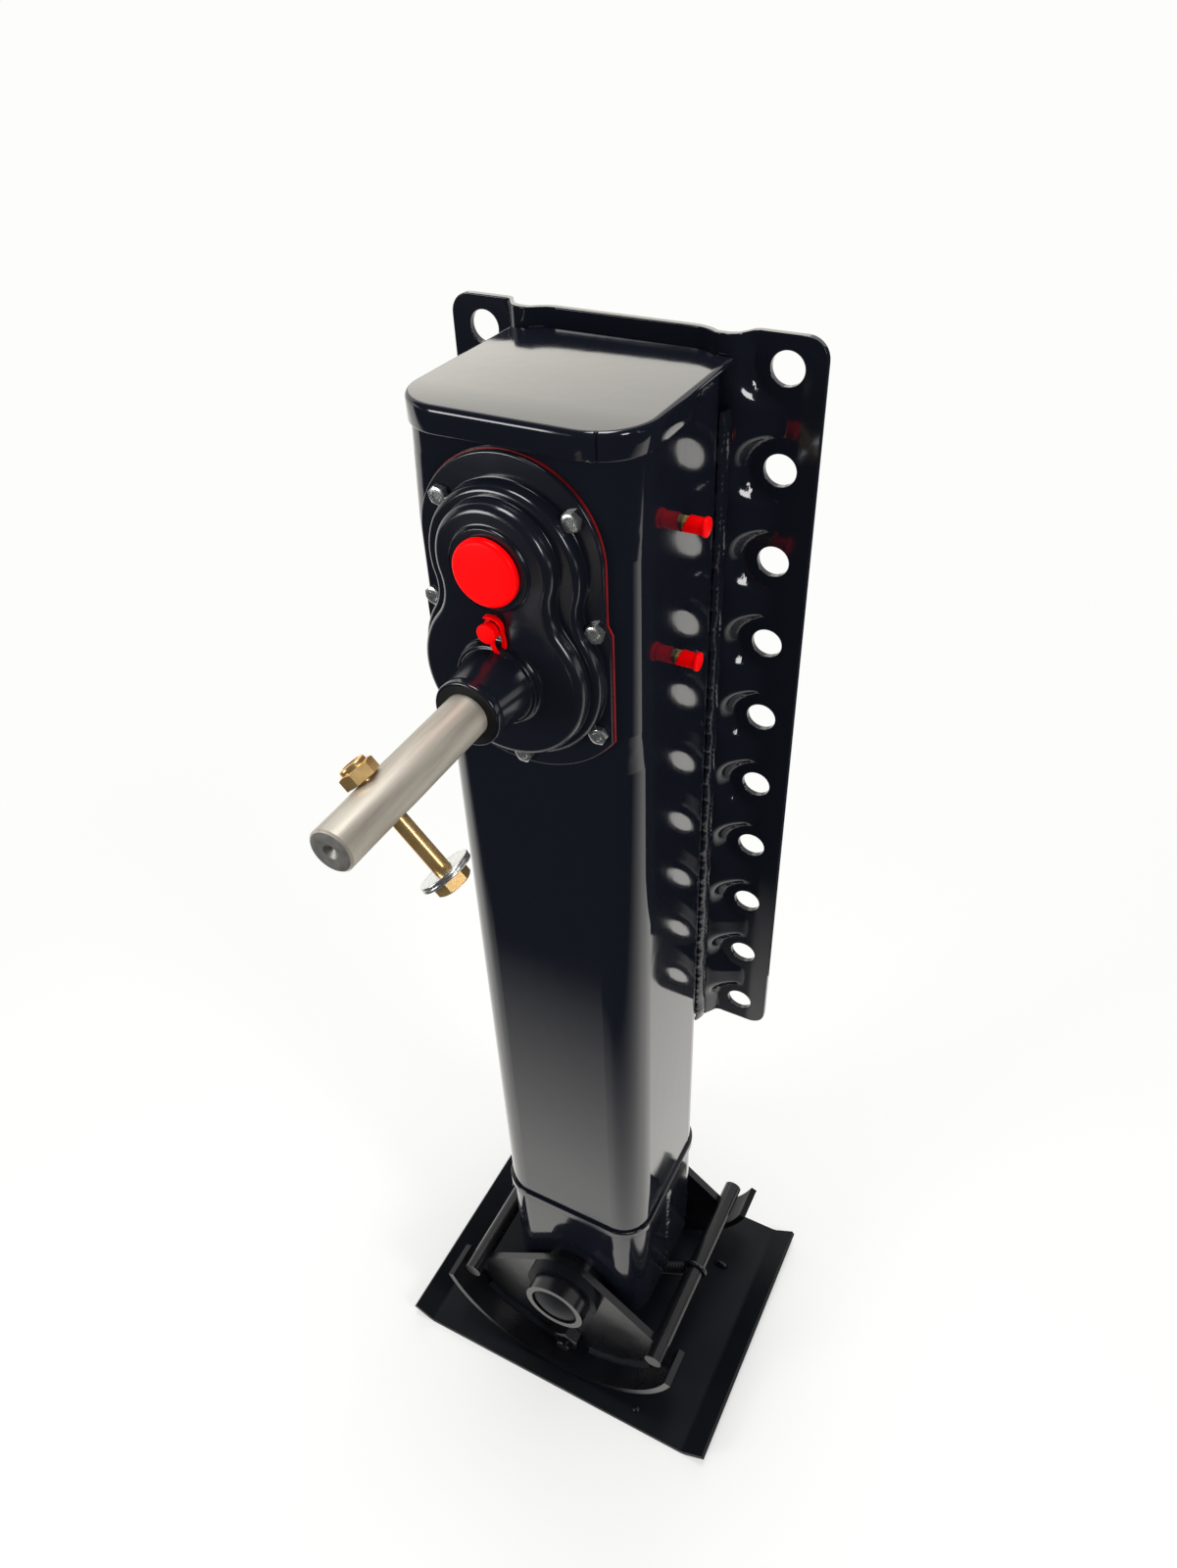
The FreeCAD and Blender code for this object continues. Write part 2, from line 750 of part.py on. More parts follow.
def bolt_hole_rods(y0, y1):
    rods = []
    for x, rise in bolt_places:
        z = crank_axis_z + rise
        rods.append(rod(cover_bolt_radius + cover_bolt_hole_gap, V(x, y0, z), V(x, y1, z)))
    return rods


def bolt_spot_faces(y0, y1):
    """Room round each bolt head, sunk into the cover's steps down to the flange."""
    radius = cover_bolt_flats / math.sqrt(3) + cover_bolt_spot_gap
    spots = []
    for x, rise in bolt_places:
        z = crank_axis_z + rise
        spots.append(rod(radius, V(x, y0, z), V(x, y1, z)))
    return spots


def make_gasket():
    back = tube_front
    front = tube_front - gasket_thickness
    gasket = flange_prism(gasket_proud, front, back)
    window = pear_prism(face_upper_radius, face_lower_radius, face_waist, front, back)
    return gasket.cut([window] + bolt_hole_rods(front, back))


def make_gearbox_cover():
    seat = tube_front - gasket_thickness
    axis_crank = V(0, 0, crank_axis_z)
    axis_output = V(0, 0, output_axis_z)
    flange = flange_prism(0.0, flange_y, seat)
    step = pear_prism(step_upper_radius, step_lower_radius, step_waist, step_y, seat)
    step = round_front(step, step_y, step_round)
    face = pear_prism(face_upper_radius, face_lower_radius, face_waist, face_y, seat)
    face = round_front(face, face_y, face_round)
    root_y = face_y - boss_root_height
    collar_y = boss_tip_y + boss_collar_length
    boss = turned([
        (0, seat), (boss_root_radius, seat), (boss_root_radius, root_y),
        (boss_root_radius - boss_root_step, root_y), (boss_tip_radius - boss_collar_step, collar_y),
        (boss_tip_radius, collar_y), (boss_tip_radius, boss_tip_y), (0, boss_tip_y),
    ], axis_crank, Y)
    cap_seat = rod(cap_seat_radius, axis_output + Y * (face_y - cap_seat_height), axis_output + Y * seat)
    body = flange.fuse([step, face, boss, cap_seat])

    high_tip = gear_module * (high_teeth / 2 + gear_addendum_share)
    output_tip = gear_module * (output_teeth / 2 + gear_addendum_share)
    gear_room_y = gear_front_y - pinion_side_gap
    wide = pear_prism(output_tip + gear_tip_gap, high_tip + gear_tip_gap, face_waist, gear_room_y, seat)
    inner_face_y = face_y + cover_wall
    narrow = pear_prism(face_upper_radius - cover_wall, face_lower_radius - cover_wall, face_waist,
                        inner_face_y, seat)
    hub_seat = sleeve(hub_radius + running_fit + hub_seat_wall, hub_radius + running_fit,
                      axis_crank + Y * inner_face_y, axis_crank + Y * gear_room_y)
    cuts = [
        rod(boss_bore, axis_crank + Y * boss_tip_y, axis_crank + Y * seat),
        rod(boss_bore + seal_lip, axis_crank + Y * boss_tip_y, axis_crank + Y * (boss_tip_y + seal_depth)),
        rod(output_bush_radius, axis_output + Y * (face_y - cap_seat_height), axis_output + Y * seat),
        rod(nipple_thread_radius, V(0, face_y, crank_axis_z + cover_nipple_rise),
            V(0, seat, crank_axis_z + cover_nipple_rise)),
    ]
    cuts += bolt_hole_rods(face_y, seat) + bolt_spot_faces(face_y, flange_y)
    return body.cut([wide, narrow]).fuse(hub_seat).cut(cuts).removeSplitter()


def make_cover_bolts():
    bolts = []
    for x, rise in bolt_places:
        seat = V(x, flange_y, crank_axis_z + rise)
        head = hexagon(cover_bolt_flats, seat - Y * cover_bolt_head, seat)
        shank = rod(cover_bolt_radius, seat, V(x, tube_front + tube_wall, seat.z))
        bolts.append(head.fuse(shank).removeSplitter())
    return group(bolts)


def make_inspection_cap():
    base = V(0, face_y - cap_seat_height, output_axis_z)
    disc = rod(red_cap_radius, base - Y * red_cap_height, base)
    return round_front(disc, base.y - red_cap_height, red_cap_round)


# Grease nipples and their caps
def make_nipple(base, out, height, thread_length):
    """Nipple screwed in at a base point, pointing out."""
    foot = hexagon(nipple_hex_flats, base, base + out * nipple_hex_height)
    stem = turned([
        (0, -thread_length), (nipple_thread_radius, -thread_length), (nipple_thread_radius, 0),
        (nipple_stem_radius, 0), (nipple_stem_radius, height - nipple_neck_drop),
        (nipple_stem_radius + nipple_bead, height - nipple_bead_drop),
        (nipple_stem_radius - nipple_bead, height), (0, height),
    ], base, out)
    return foot.fuse(stem)


def make_nipple_cap(base, out, height):
    """Push-on cap with a rim, closed at its outer end."""
    start = nipple_hex_height
    inner_end = height + nipple_cap_end_gap
    end = inner_end + nipple_cap_wall
    inner = nipple_stem_radius + nipple_cap_side_gap
    return turned([
        (inner, start), (nipple_cap_radius, start), (nipple_cap_radius, end - nipple_cap_rim_height),
        (nipple_cap_rim, end - nipple_cap_rim_height), (nipple_cap_rim, end), (0, end), (0, inner_end),
        (inner, inner_end),
    ], base, out)


def nipple_places():
    cover = V(0, face_y, crank_axis_z + cover_nipple_rise)
    sides = [V(tube_side, y, crank_axis_z + rise) for y, rise in side_nipple_spots]
    return cover, sides


# Crank shaft with its pinion, in the high gear position
def cross_bolt_frame():
    angle = math.radians(cross_bolt_angle)
    centre = V(0, tube_front - cross_bolt_reach, crank_axis_z)
    return centre, V(math.cos(angle), 0, math.sin(angle))


def make_crank_shaft():
    axis = V(0, 0, crank_axis_z)
    end_y = tube_front - crank_reach
    body = turned([
        (0, end_y), (crank_end_radius - crank_chamfer, end_y), (crank_end_radius, end_y + crank_chamfer),
        (crank_end_radius, end_y + crank_end_length), (crank_radius, end_y + crank_end_length),
        (crank_radius, gear_back_y), (crank_journal_radius, gear_back_y),
        (crank_journal_radius, crank_inner_y), (0, crank_inner_y),
    ], axis, Y)
    pinion = spur_wheel(pinion_teeth, crank_axis_z, gear_front_y, gear_back_y, 90)
    centre_drill = turned([
        (0, end_y), (crank_centre_radius, end_y), (0, end_y + crank_centre_depth)], axis, Y)
    centre, out = cross_bolt_frame()
    past = out * crank_radius * 2
    hole = rod(cross_bolt_radius + cross_hole_gap, centre - past, centre + past)
    return body.fuse(pinion).cut([centre_drill, hole])


def cross_nut_end():
    """Distance from the crank's axis to the far end of the lock nut's collar."""
    return crank_radius + cross_nut_gap + cross_nut_height + cross_nut_collar


def make_crank_bolt():
    centre, out = cross_bolt_frame()
    seat = centre + out * cross_bolt_grip
    shank = rod(cross_bolt_radius, centre - out * (cross_nut_end() - cross_bolt_end_inset), seat)
    head = hexagon(cross_head_flats, seat, seat + out * cross_head_height, 30)
    return shank.fuse(head).removeSplitter()


def make_crank_nut():
    centre, out = cross_bolt_frame()
    seat = centre - out * (crank_radius + cross_nut_gap)
    end = centre - out * cross_nut_end()
    nut = hexagon(cross_nut_flats, seat, seat - out * cross_nut_height, 30)
    collar = rod(cross_nut_collar_radius, seat, end)
    return nut.fuse(collar).cut(rod(cross_bolt_radius, seat, end)).removeSplitter()


def make_crank_washers():
    centre, out = cross_bolt_frame()
    washers = []
    for number in range(2):
        end = cross_bolt_grip - number * cross_washer_thickness
        washers.append(sleeve(cross_washer_radius, cross_bolt_radius,
                              centre + out * (end - cross_washer_thickness), centre + out * end))
    return group(washers)


def make_crank_bracket():
    """Inner support of the crank shaft, standing on the bearing plate."""
    back = bracket_back_y
    front = back - bracket_thickness
    half = bracket_width / 2
    upright = block(-half, half, front, back, bearing_top_z, crank_axis_z)
    head = rod(half, V(0, front, crank_axis_z), V(0, back, crank_axis_z))
    bore = rod(crank_journal_radius + running_fit, V(0, front, crank_axis_z), V(0, back, crank_axis_z))
    ears = head.common(block(-half, half, front, back, crank_axis_z, crank_axis_z + bracket_head_rise))
    return upright.fuse(ears).cut(bore).removeSplitter()


def make_high_gear():
    axis = V(0, 0, crank_axis_z)
    wheel = spur_wheel(high_teeth, crank_axis_z, gear_front_y, gear_back_y, 90)
    hub_front = face_y + cover_wall + end_float
    hub = rod(hub_radius, axis + Y * hub_front, axis + Y * gear_back_y)
    clear = rod(crank_radius + bush_wall, axis + Y * hub_front, axis + Y * gear_back_y)
    spline = spur_wheel(pinion_teeth, crank_axis_z, gear_front_y - pinion_side_gap, gear_back_y, 90,
                        spline_clearance)
    return wheel.fuse(hub).cut([clear, spline]).removeSplitter()


# Output shaft group
def make_output_shaft():
    axis = V(0, 0, output_axis_z)
    front = axis + Y * (face_y + end_float)
    shoulder = axis + Y * low_back_y
    rear = axis + Y * (mount_plane - output_end_inset)
    return rod(output_radius, front, shoulder).fuse(rod(output_seat_radius, shoulder, rear))


def make_output_gear():
    gap_down = -90 + 180 / output_teeth
    wheel = spur_wheel(output_teeth, output_axis_z, gear_front_y, gear_back_y, gap_down)
    bore = rod(output_radius, V(0, gear_front_y, output_axis_z), V(0, gear_back_y, output_axis_z))
    return wheel.cut(bore)


def make_low_wheel():
    wheel = spur_wheel(low_teeth, output_axis_z, low_front_y, low_back_y, -90 + 180 / low_teeth)
    bore = rod(output_radius, V(0, low_front_y, output_axis_z), V(0, low_back_y, output_axis_z))
    return wheel.cut(bore)


def make_bevel_pinion():
    gap_down = FreeCAD.Rotation(Y, 180 / bevel_pinion_teeth).multVec(-Z)
    hub = output_seat_radius + bevel_pinion_hub_wall
    return bevel_gear(bevel_pinion_teeth, bevel_wheel_teeth, -Y, gap_down, -low_back_y, hub,
                      output_seat_radius)


# Spindle group
def bevel_hub_bottom():
    return output_axis_z - bevel_module * bevel_pinion_teeth / 2 - bevel_hub_drop


def make_bevel_wheel():
    depth = output_axis_z - bevel_hub_bottom()
    hub = spindle_journal_radius + spacer_wall
    return bevel_gear(bevel_wheel_teeth, bevel_pinion_teeth, -Z, -Y, depth, hub, spindle_neck_radius)


def make_spindle():
    neck_z = bevel_hub_bottom()
    top_z = output_axis_z - output_radius - spindle_end_gap
    return turned([
        (0, spindle_bottom_z), (spindle_thread_radius, spindle_bottom_z),
        (spindle_thread_radius, collar_bottom_z), (spindle_journal_radius, collar_bottom_z),
        (spindle_journal_radius, neck_z), (spindle_neck_radius, neck_z), (spindle_neck_radius, top_z),
        (0, top_z),
    ], V(0, 0, 0), Z)


def make_bearing_plate():
    plate = rounded_prism(bore_width, bore_depth, bore_corner, bearing_bottom_z, bearing_top_z)
    bore = rod(spindle_journal_radius + running_fit, V(0, 0, bearing_bottom_z), V(0, 0, bearing_top_z))
    return plate.cut(bore)


# Lower leg
def make_lower_tube():
    outer = rounded_prism(leg_width, leg_depth, leg_corner, leg_bottom_z, leg_top_z)
    inner = rounded_prism(leg_width - 2 * leg_wall, leg_depth - 2 * leg_wall, leg_corner - leg_wall,
                          leg_bottom_z, leg_top_z)
    return outer.cut([inner, axle_rod(axle_radius)])


def axle_rod(radius):
    return rod(radius, V(0, -axle_half, axle_z), V(0, axle_half, axle_z))


def make_spindle_nut():
    plug = rounded_prism(leg_width - 2 * leg_wall, leg_depth - 2 * leg_wall, leg_corner - leg_wall,
                         leg_top_z - nut_height, leg_top_z)
    bore = rod(spindle_thread_radius + running_fit, V(0, 0, leg_top_z - nut_height), V(0, 0, leg_top_z))
    return plug.cut(bore)


def make_foot_socket():
    top_z = tube_bottom_z - socket_gap
    outer = rounded_prism(tube_width, tube_depth, tube_corner, socket_bottom_z, top_z)
    leg = rounded_prism(leg_width, leg_depth, leg_corner, socket_bottom_z, top_z)
    return outer.cut([leg, axle_rod(axle_radius)])


def make_socket_welds():
    """Seam where the two halves of the socket meet, in the middle of each side."""
    half = seam_width / 2
    low = socket_bottom_z + seam_inset
    high = tube_bottom_z - socket_gap - seam_inset
    front = V(tube_side, -half, low)
    back = V(tube_side, half, low)
    outline = [
        Part.Arc(front, V(tube_side + seam_proud, 0, low), back).toShape(),
        Part.LineSegment(back, front).toShape(),
    ]
    seam = Part.Face(Part.Wire(outline)).extrude(Z * (high - low))
    return group([seam, mirrored_x(seam)])


def make_axle_tube():
    return axle_rod(axle_radius).cut(axle_rod(axle_radius - axle_wall))


def make_axle_plugs():
    """Domed plugs pressed into the ends of the axle tube, a little below its rims."""
    radius = axle_radius - axle_wall
    rim = axle_half - plug_recess
    back = rim - plug_thickness
    sphere = (radius ** 2 + plug_dome ** 2) / (2 * plug_dome)
    disc = rod(radius, V(0, back, axle_z), V(0, rim + plug_dome, axle_z))
    ball = Part.makeSphere(sphere, V(0, rim + plug_dome - sphere, axle_z))
    plug = disc.common(ball)
    return group([plug, mirrored_y(plug)])


def make_spring_anchor():
    half = anchor_width / 2
    bar = block(-half, half, -anchor_thickness / 2, anchor_thickness / 2, anchor_bottom_z, axle_z)
    return bar.cut(axle_rod(axle_radius))


# Rocker foot
def make_cheek():
    """Rear cheek: a hump over the axle, straight slopes to the rods, and a round bottom on the sole."""
    end_x = rod_x - rod_radius + rod_seat_depth
    end_z = rod_z
    centre = math.atan2(axle_z - end_z, -end_x)
    spread = math.asin(hump_radius / math.hypot(end_x, axle_z - end_z))
    touch = math.degrees(centre - spread) - 90
    seat_radius = sole_radius - sole_thickness
    foot_z = sole_centre_z - math.sqrt(seat_radius ** 2 - end_x ** 2)
    foot_angle = math.degrees(math.atan2(foot_z - sole_centre_z, end_x))
    y = cheek_inner
    hump = arc_by_angles(0, y, axle_z, hump_radius, touch, 180 - touch)
    bottom = arc_by_angles(0, y, sole_centre_z, seat_radius, 180 - foot_angle, 360 + foot_angle)
    right_touch = hump.Vertexes[0].Point
    left_touch = hump.Vertexes[1].Point
    corners = [V(end_x, y, end_z), V(end_x, y, foot_z), V(-end_x, y, foot_z), V(-end_x, y, end_z)]
    edges = [
        hump,
        Part.LineSegment(left_touch, corners[3]).toShape(),
        Part.LineSegment(corners[3], corners[2]).toShape(),
        bottom,
        Part.LineSegment(corners[1], corners[0]).toShape(),
        Part.LineSegment(corners[0], right_touch).toShape(),
    ]
    cheek = Part.Face(Part.Wire(Part.__sortEdges__(edges))).extrude(Y * cheek_thickness)
    bolt = rod(shoe_bolt_radius, V(0, 0, shoe_bolt_z), V(0, axle_half, shoe_bolt_z))
    cuts = [axle_rod(axle_radius + running_fit), bolt]
    for sign in (-1, 1):
        cuts.append(cross_rod(sign))
    return cheek.cut(cuts)


def cross_rod(sign):
    half = cheek_outer + rod_overhang
    return rod(rod_radius, V(sign * rod_x, -half, rod_z), V(sign * rod_x, half, rod_z))


def make_sole():
    """Rear sole: a strip rolled about the foot's rolling centre, under the cheek and reaching outwards."""
    low = sole_centre_z - sole_radius
    points = [V(0, cheek_inner, low), V(0, cheek_inner + sole_width, low),
              V(0, cheek_inner + sole_width, low + sole_thickness), V(0, cheek_inner, low + sole_thickness)]
    half_angle = math.degrees(math.asin(sole_half_length / sole_radius))
    section = Part.Face(Part.makePolygon(points + points[:1]))
    centre = V(0, 0, sole_centre_z)
    section.rotate(centre, Y, -half_angle)
    return section.revolve(centre, Y, 2 * half_angle)


def make_axle_collars():
    ring = sleeve(collar_ring_radius, axle_radius + running_fit, V(0, cheek_outer, axle_z),
                  V(0, cheek_outer + collar_ring_height, axle_z))
    return group([ring, mirrored_y(ring)])


def make_foot_welds():
    """Fillet welds along the outer corner between each cheek and its sole, left and right of the middle."""
    seat_radius = sole_radius - sole_thickness
    start = math.degrees(math.asin(foot_weld_start_x / seat_radius))
    end = math.degrees(math.asin(foot_weld_end_x / seat_radius))
    low = sole_centre_z - seat_radius
    points = [V(0, cheek_outer, low), V(0, cheek_outer + foot_weld_size, low),
              V(0, cheek_outer, low + foot_weld_size)]
    face = Part.Face(Part.makePolygon(points + points[:1]))
    centre = V(0, 0, sole_centre_z)
    face.rotate(centre, Y, -start)
    bead = face.revolve(centre, Y, start - end)
    rear = [bead, mirrored_x(bead)]
    return group(rear + [mirrored_y(solid) for solid in rear])


def make_shoe_bolt():
    start = V(0, cheek_outer, shoe_bolt_z)
    head = hexagon(shoe_bolt_flats, start, start + Y * shoe_bolt_head)
    tail = V(0, -cheek_outer - shoe_nut_height - shoe_bolt_tail, shoe_bolt_z)
    return head.fuse(rod(shoe_bolt_radius, tail, start)).removeSplitter()


def make_shoe_nut():
    start = V(0, -cheek_outer, shoe_bolt_z)
    nut = hexagon(shoe_bolt_flats, start - Y * shoe_nut_height, start)
    return nut.cut(rod(shoe_bolt_radius, start - Y * shoe_nut_height, start))


def make_return_springs():
    """Outer shape of each coil spring, with the hook that holds its end round the cross rod."""
    hook_radius = rod_radius + spring_hook_gap + spring_wire
    rod_centre = V(rod_x, 0, rod_z)
    anchor = V(anchor_width / 2 + spring_anchor_gap, 0, anchor_bottom_z + spring_anchor_rise)
    hook = sleeve(hook_radius + spring_wire, hook_radius - spring_wire, rod_centre - Y * spring_wire,
                  rod_centre + Y * spring_wire)
    run = (anchor - rod_centre).normalize()
    coil = sleeve(spring_radius, spring_radius - 2 * spring_wire, rod_centre + run * hook_radius, anchor)
    spring = coil.fuse(hook)
    return group([spring, mirrored_x(spring)])


# Shoe plate
def make_base_plate():
    """Flat plate whose two ends are bent up."""
    angle = math.radians(shoe_bend_angle)
    inner = shoe_bend_radius - shoe_thickness
    along = V(math.cos(angle), 0, math.sin(angle))
    bend_z = shoe_bend_radius
    half_depth = shoe_depth / 2
    mid = angle / 2

    def on_bend(radius, turn):
        return V(shoe_flat_half + radius * math.sin(turn), -half_depth, bend_z - radius * math.cos(turn))

    run = (shoe_half_length - on_bend(shoe_bend_radius, angle).x) / math.cos(angle)
    low = [V(0, -half_depth, 0), on_bend(shoe_bend_radius, 0)]
    high = [V(0, -half_depth, shoe_thickness), on_bend(inner, 0)]
    low_end = on_bend(shoe_bend_radius, angle)
    high_end = on_bend(inner, angle)
    edges = [
        Part.LineSegment(low[0], low[1]).toShape(),
        Part.Arc(low[1], on_bend(shoe_bend_radius, mid), low_end).toShape(),
        Part.LineSegment(low_end, low_end + along * run).toShape(),
        Part.LineSegment(low_end + along * run, high_end + along * run).toShape(),
        Part.LineSegment(high_end + along * run, high_end).toShape(),
        Part.Arc(high_end, on_bend(inner, mid), high[1]).toShape(),
        Part.LineSegment(high[1], high[0]).toShape(),
        Part.LineSegment(high[0], low[0]).toShape(),
    ]
    half = Part.Face(Part.Wire(edges)).extrude(Y * shoe_depth)
    plate = half.fuse(mirrored_x(half)).removeSplitter()
    trim = rounded_prism(2 * shoe_half_length, shoe_depth, shoe_corner, 0, shoe_half_length)
    return plate.common(trim)


def make_shoe_lugs():
    outer = cheek_inner - lug_cheek_gap
    inner = outer - lug_thickness
    upright = block(-lug_radius, lug_radius, inner, outer, shoe_thickness, shoe_bolt_z)
    head = rod(lug_radius, V(0, inner, shoe_bolt_z), V(0, outer, shoe_bolt_z))
    bore = rod(shoe_bolt_radius + lug_fit, V(0, inner, shoe_bolt_z), V(0, outer, shoe_bolt_z))
    lug = upright.fuse(head).cut(bore).removeSplitter()
    return group([lug, mirrored_y(lug)])


def main():
    os.makedirs("parts", exist_ok=True)
    crank_axis = V(0, 0, crank_axis_z)
    output_axis = V(0, 0, output_axis_z)

    plate = make_mounting_plate()
    save("upper_tube", make_upper_tube())
    save("mounting_plate", plate)
    save("plate_welds", make_plate_welds(plate))
    save("tube_end_ring", make_end_ring())
    save("top_cover", make_top_cover(plate))
    save("cover_gasket", make_gasket())
    save("gearbox_cover", make_gearbox_cover())
    save("cover_bolts", make_cover_bolts())
    save("inspection_cap", make_inspection_cap())
    cover_place, side_places = nipple_places()
    side_nipples = [make_nipple(place, X, side_nipple_height, tube_wall) for place in side_places]
    side_caps = [make_nipple_cap(place, X, side_nipple_height) for place in side_places]
    save("cover_grease_nipple", make_nipple(cover_place, -Y, cover_nipple_height, cover_wall))
    save("cover_nipple_cap", make_nipple_cap(cover_place, -Y, cover_nipple_height))
    save("side_grease_nipples", group(side_nipples))
    save("side_nipple_caps", group(side_caps))
    crank_run = crank_radius + running_fit
    seal_back = crank_axis + Y * (boss_tip_y + seal_depth)
    save("crank_bush", sleeve(boss_bore, crank_run, seal_back, crank_axis + Y * (face_y + cover_wall)))
    save("crank_seal", sleeve(boss_bore + seal_lip, crank_run, crank_axis + Y * boss_tip_y, seal_back))
    save("crank_bracket", make_crank_bracket())
    front_bush = output_axis + Y * (face_y - cap_seat_height)
    rear_bush = output_axis + Y * tube_back
    save("output_front_bush", sleeve(output_bush_radius, output_radius + running_fit, front_bush,
                                     front_bush + Y * output_bush_length))
    save("output_rear_bush", sleeve(rear_bush_radius, output_seat_radius + running_fit,
                                    rear_bush - Y * tube_wall, rear_bush))
    save("bearing_plate", make_bearing_plate())
    save("thrust_bearing", sleeve(thrust_radius, spindle_journal_radius + running_fit,
                                  V(0, 0, thrust_bottom_z), V(0, 0, bearing_bottom_z)))

    save("high_gear_wheel", make_high_gear())
    save("crank_shaft", make_crank_shaft())
    save("crank_bolt", make_crank_bolt())
    save("crank_nut", make_crank_nut())
    save("crank_washers", make_crank_washers())

    save("output_shaft", make_output_shaft())
    save("output_gear", make_output_gear())
    save("low_gear_wheel", make_low_wheel())
    save("bevel_pinion", make_bevel_pinion())

    save("spindle", make_spindle())
    save("bevel_wheel", make_bevel_wheel())
    save("spindle_spacer", sleeve(spindle_journal_radius + spacer_wall, spindle_journal_radius,
                                  V(0, 0, bearing_top_z + thrust_gap), V(0, 0, bevel_hub_bottom())))
    save("thrust_collar", sleeve(collar_radius, spindle_journal_radius, V(0, 0, collar_bottom_z),
                                 V(0, 0, collar_top_z)))
    save("stop_collar", rod(stop_collar_radius, V(0, 0, spindle_bottom_z - stop_collar_height),
                            V(0, 0, spindle_bottom_z)))

    save("lower_tube", make_lower_tube())
    save("spindle_nut", make_spindle_nut())
    save("foot_socket", make_foot_socket())
    save("socket_welds", make_socket_welds())
    save("axle_tube", make_axle_tube())
    save("axle_plugs", make_axle_plugs())
    save("spring_anchor", make_spring_anchor())

    cheek = make_cheek()
    sole = make_sole()
    save("rear_cheek", cheek)
    save("front_cheek", mirrored_y(cheek))
    save("rear_sole", sole)
    save("front_sole", mirrored_y(sole))
    save("axle_collars", make_axle_collars())
    save("cross_rods", group([cross_rod(-1), cross_rod(1)]))
    save("foot_welds", make_foot_welds())
    save("shoe_bolt", make_shoe_bolt())
    save("shoe_nut", make_shoe_nut())
    save("return_springs", make_return_springs())

    save("base_plate", make_base_plate())
    save("shoe_lugs", make_shoe_lugs())


main()
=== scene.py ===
import json
import math
import bmesh
import bpy
import numpy as np
from mathutils import Matrix, Vector
from mathutils.geometry import tessellate_polygon


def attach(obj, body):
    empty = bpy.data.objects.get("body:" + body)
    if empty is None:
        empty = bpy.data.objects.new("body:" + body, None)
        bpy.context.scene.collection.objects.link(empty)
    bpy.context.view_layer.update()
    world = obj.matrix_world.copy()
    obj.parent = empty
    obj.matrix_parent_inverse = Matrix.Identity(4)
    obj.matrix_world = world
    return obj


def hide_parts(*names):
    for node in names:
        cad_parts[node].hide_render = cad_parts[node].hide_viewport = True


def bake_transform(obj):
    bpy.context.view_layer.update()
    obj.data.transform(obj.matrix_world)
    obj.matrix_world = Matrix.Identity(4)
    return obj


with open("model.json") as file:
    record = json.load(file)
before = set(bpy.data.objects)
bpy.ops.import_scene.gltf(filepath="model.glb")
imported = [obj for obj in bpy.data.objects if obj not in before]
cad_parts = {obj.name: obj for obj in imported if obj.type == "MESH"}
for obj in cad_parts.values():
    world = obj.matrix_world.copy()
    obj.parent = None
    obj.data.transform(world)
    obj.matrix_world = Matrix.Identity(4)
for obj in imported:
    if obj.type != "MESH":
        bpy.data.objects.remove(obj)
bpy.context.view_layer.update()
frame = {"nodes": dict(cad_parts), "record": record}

# Trailer landing gear leg. Places are in millimetres in the leg's own frame and become metres in the meshes.
MM = 0.001
X, Y, Z = np.eye(3)

# Camera, as solved from the edges of the leg
CAMERA_MM = (250.8, -447.8, 1002.6)
CAMERA_AZIMUTH = 29.08
CAMERA_ELEVATION = 39.55
CAMERA_ROLL = -2.53
CAMERA_LENS = 26.17
SENSOR_LONG_SIDE = 36.0

# Stage. The flag, canopy, wall, strip and boards are dark sheets seen only in the leg's gloss: painted dark
# reflections.
FLOOR_HALF = 20000.0
FLOOR_FADE_START = 350.0
FLOOR_FADE_END = 1100.0
FLOOR_GLOW = 0.45
FLOOR_IN_MIRROR = 1.25
FLAG_START_Y = -190.0
FLAG_FULL_Y = -420.0
FLAG_NEAR_Y = 900.0
FLAG_FAR_Y = -4300.0
FLAG_HALF_WIDTH = 4600.0
FLAG_START_SLANT = 0.6
FLAG_FULL_SLANT = 0.3
FLAG_Z = 0.5
CANOPY_PROFILE = [(700.0, 3600.0), (-2400.0, 3600.0), (-4200.0, 2200.0), (-4200.0, 1.0)]
CANOPY_HALF_WIDTH = 9000.0
UPRIGHT_FOOT = 1.0
WALL_X = 4500.0
WALL_START_Y = 300.0
STRIP_X = 1500.0
STRIP_START_Y = -300.0
STRIP_END_Y = 1800.0
STRIP_TOP = 420.0
BOARD_Y = 76.0
BOARD_START_X = 104.0
BOARD_END_X = 205.0
BOARD_LOW = 380.0
BOARD_STEP = 740.0

# Tube and mounting plate
TUBE_BACK = 57.0
TUBE_SIDE = 58.0
TUBE_CORNER = 22.0
TUBE_BEND_X = TUBE_SIDE - TUBE_CORNER
PLATE_HALF = 101.5
PLATE_LOW = 343.0
PLATE_HIGH = 827.0
PLATE_CORNER = 11.0
PLATE_SHEET = 4.0
FLANGE_PLANE = 62.0
RIDGE_RISE = 10.0
RIDGE_END = 59.0
TONGUE_END = 84.0
HOLE_X = 82.5
HOLE_TOP = 811.0
HOLE_PITCH = 50.0
HOLE_ROWS = 10
HOLE_RADIUS = 8.5
POCKET_RADIUS = 16.5
POCKET_FLARE = 0.65
POCKET_SOFTNESS = 4.0
TILE_INNER = 60.0
WINDOW_RADIUS = 17.0
WELD_X = 58.2
WELD_Y = 48.2
WELD_HIGH = 793.0
WELD_SLANT = 68.0

# Top cover
CAP_TOP = 820.0
CAP_FRONT = -59.5
CAP_SIDE = 60.5
CAP_CORNER = 27.0
CAP_FALL = 2.5 / 115.0
CAP_EDGE = 3.0
CAP_SHEET = 2.5
LIP_HEIGHT = 10.0
LIP_END_Y = 12.0
LIP_END_RUN = 16.0
SEAM_ANGLE = 67.0

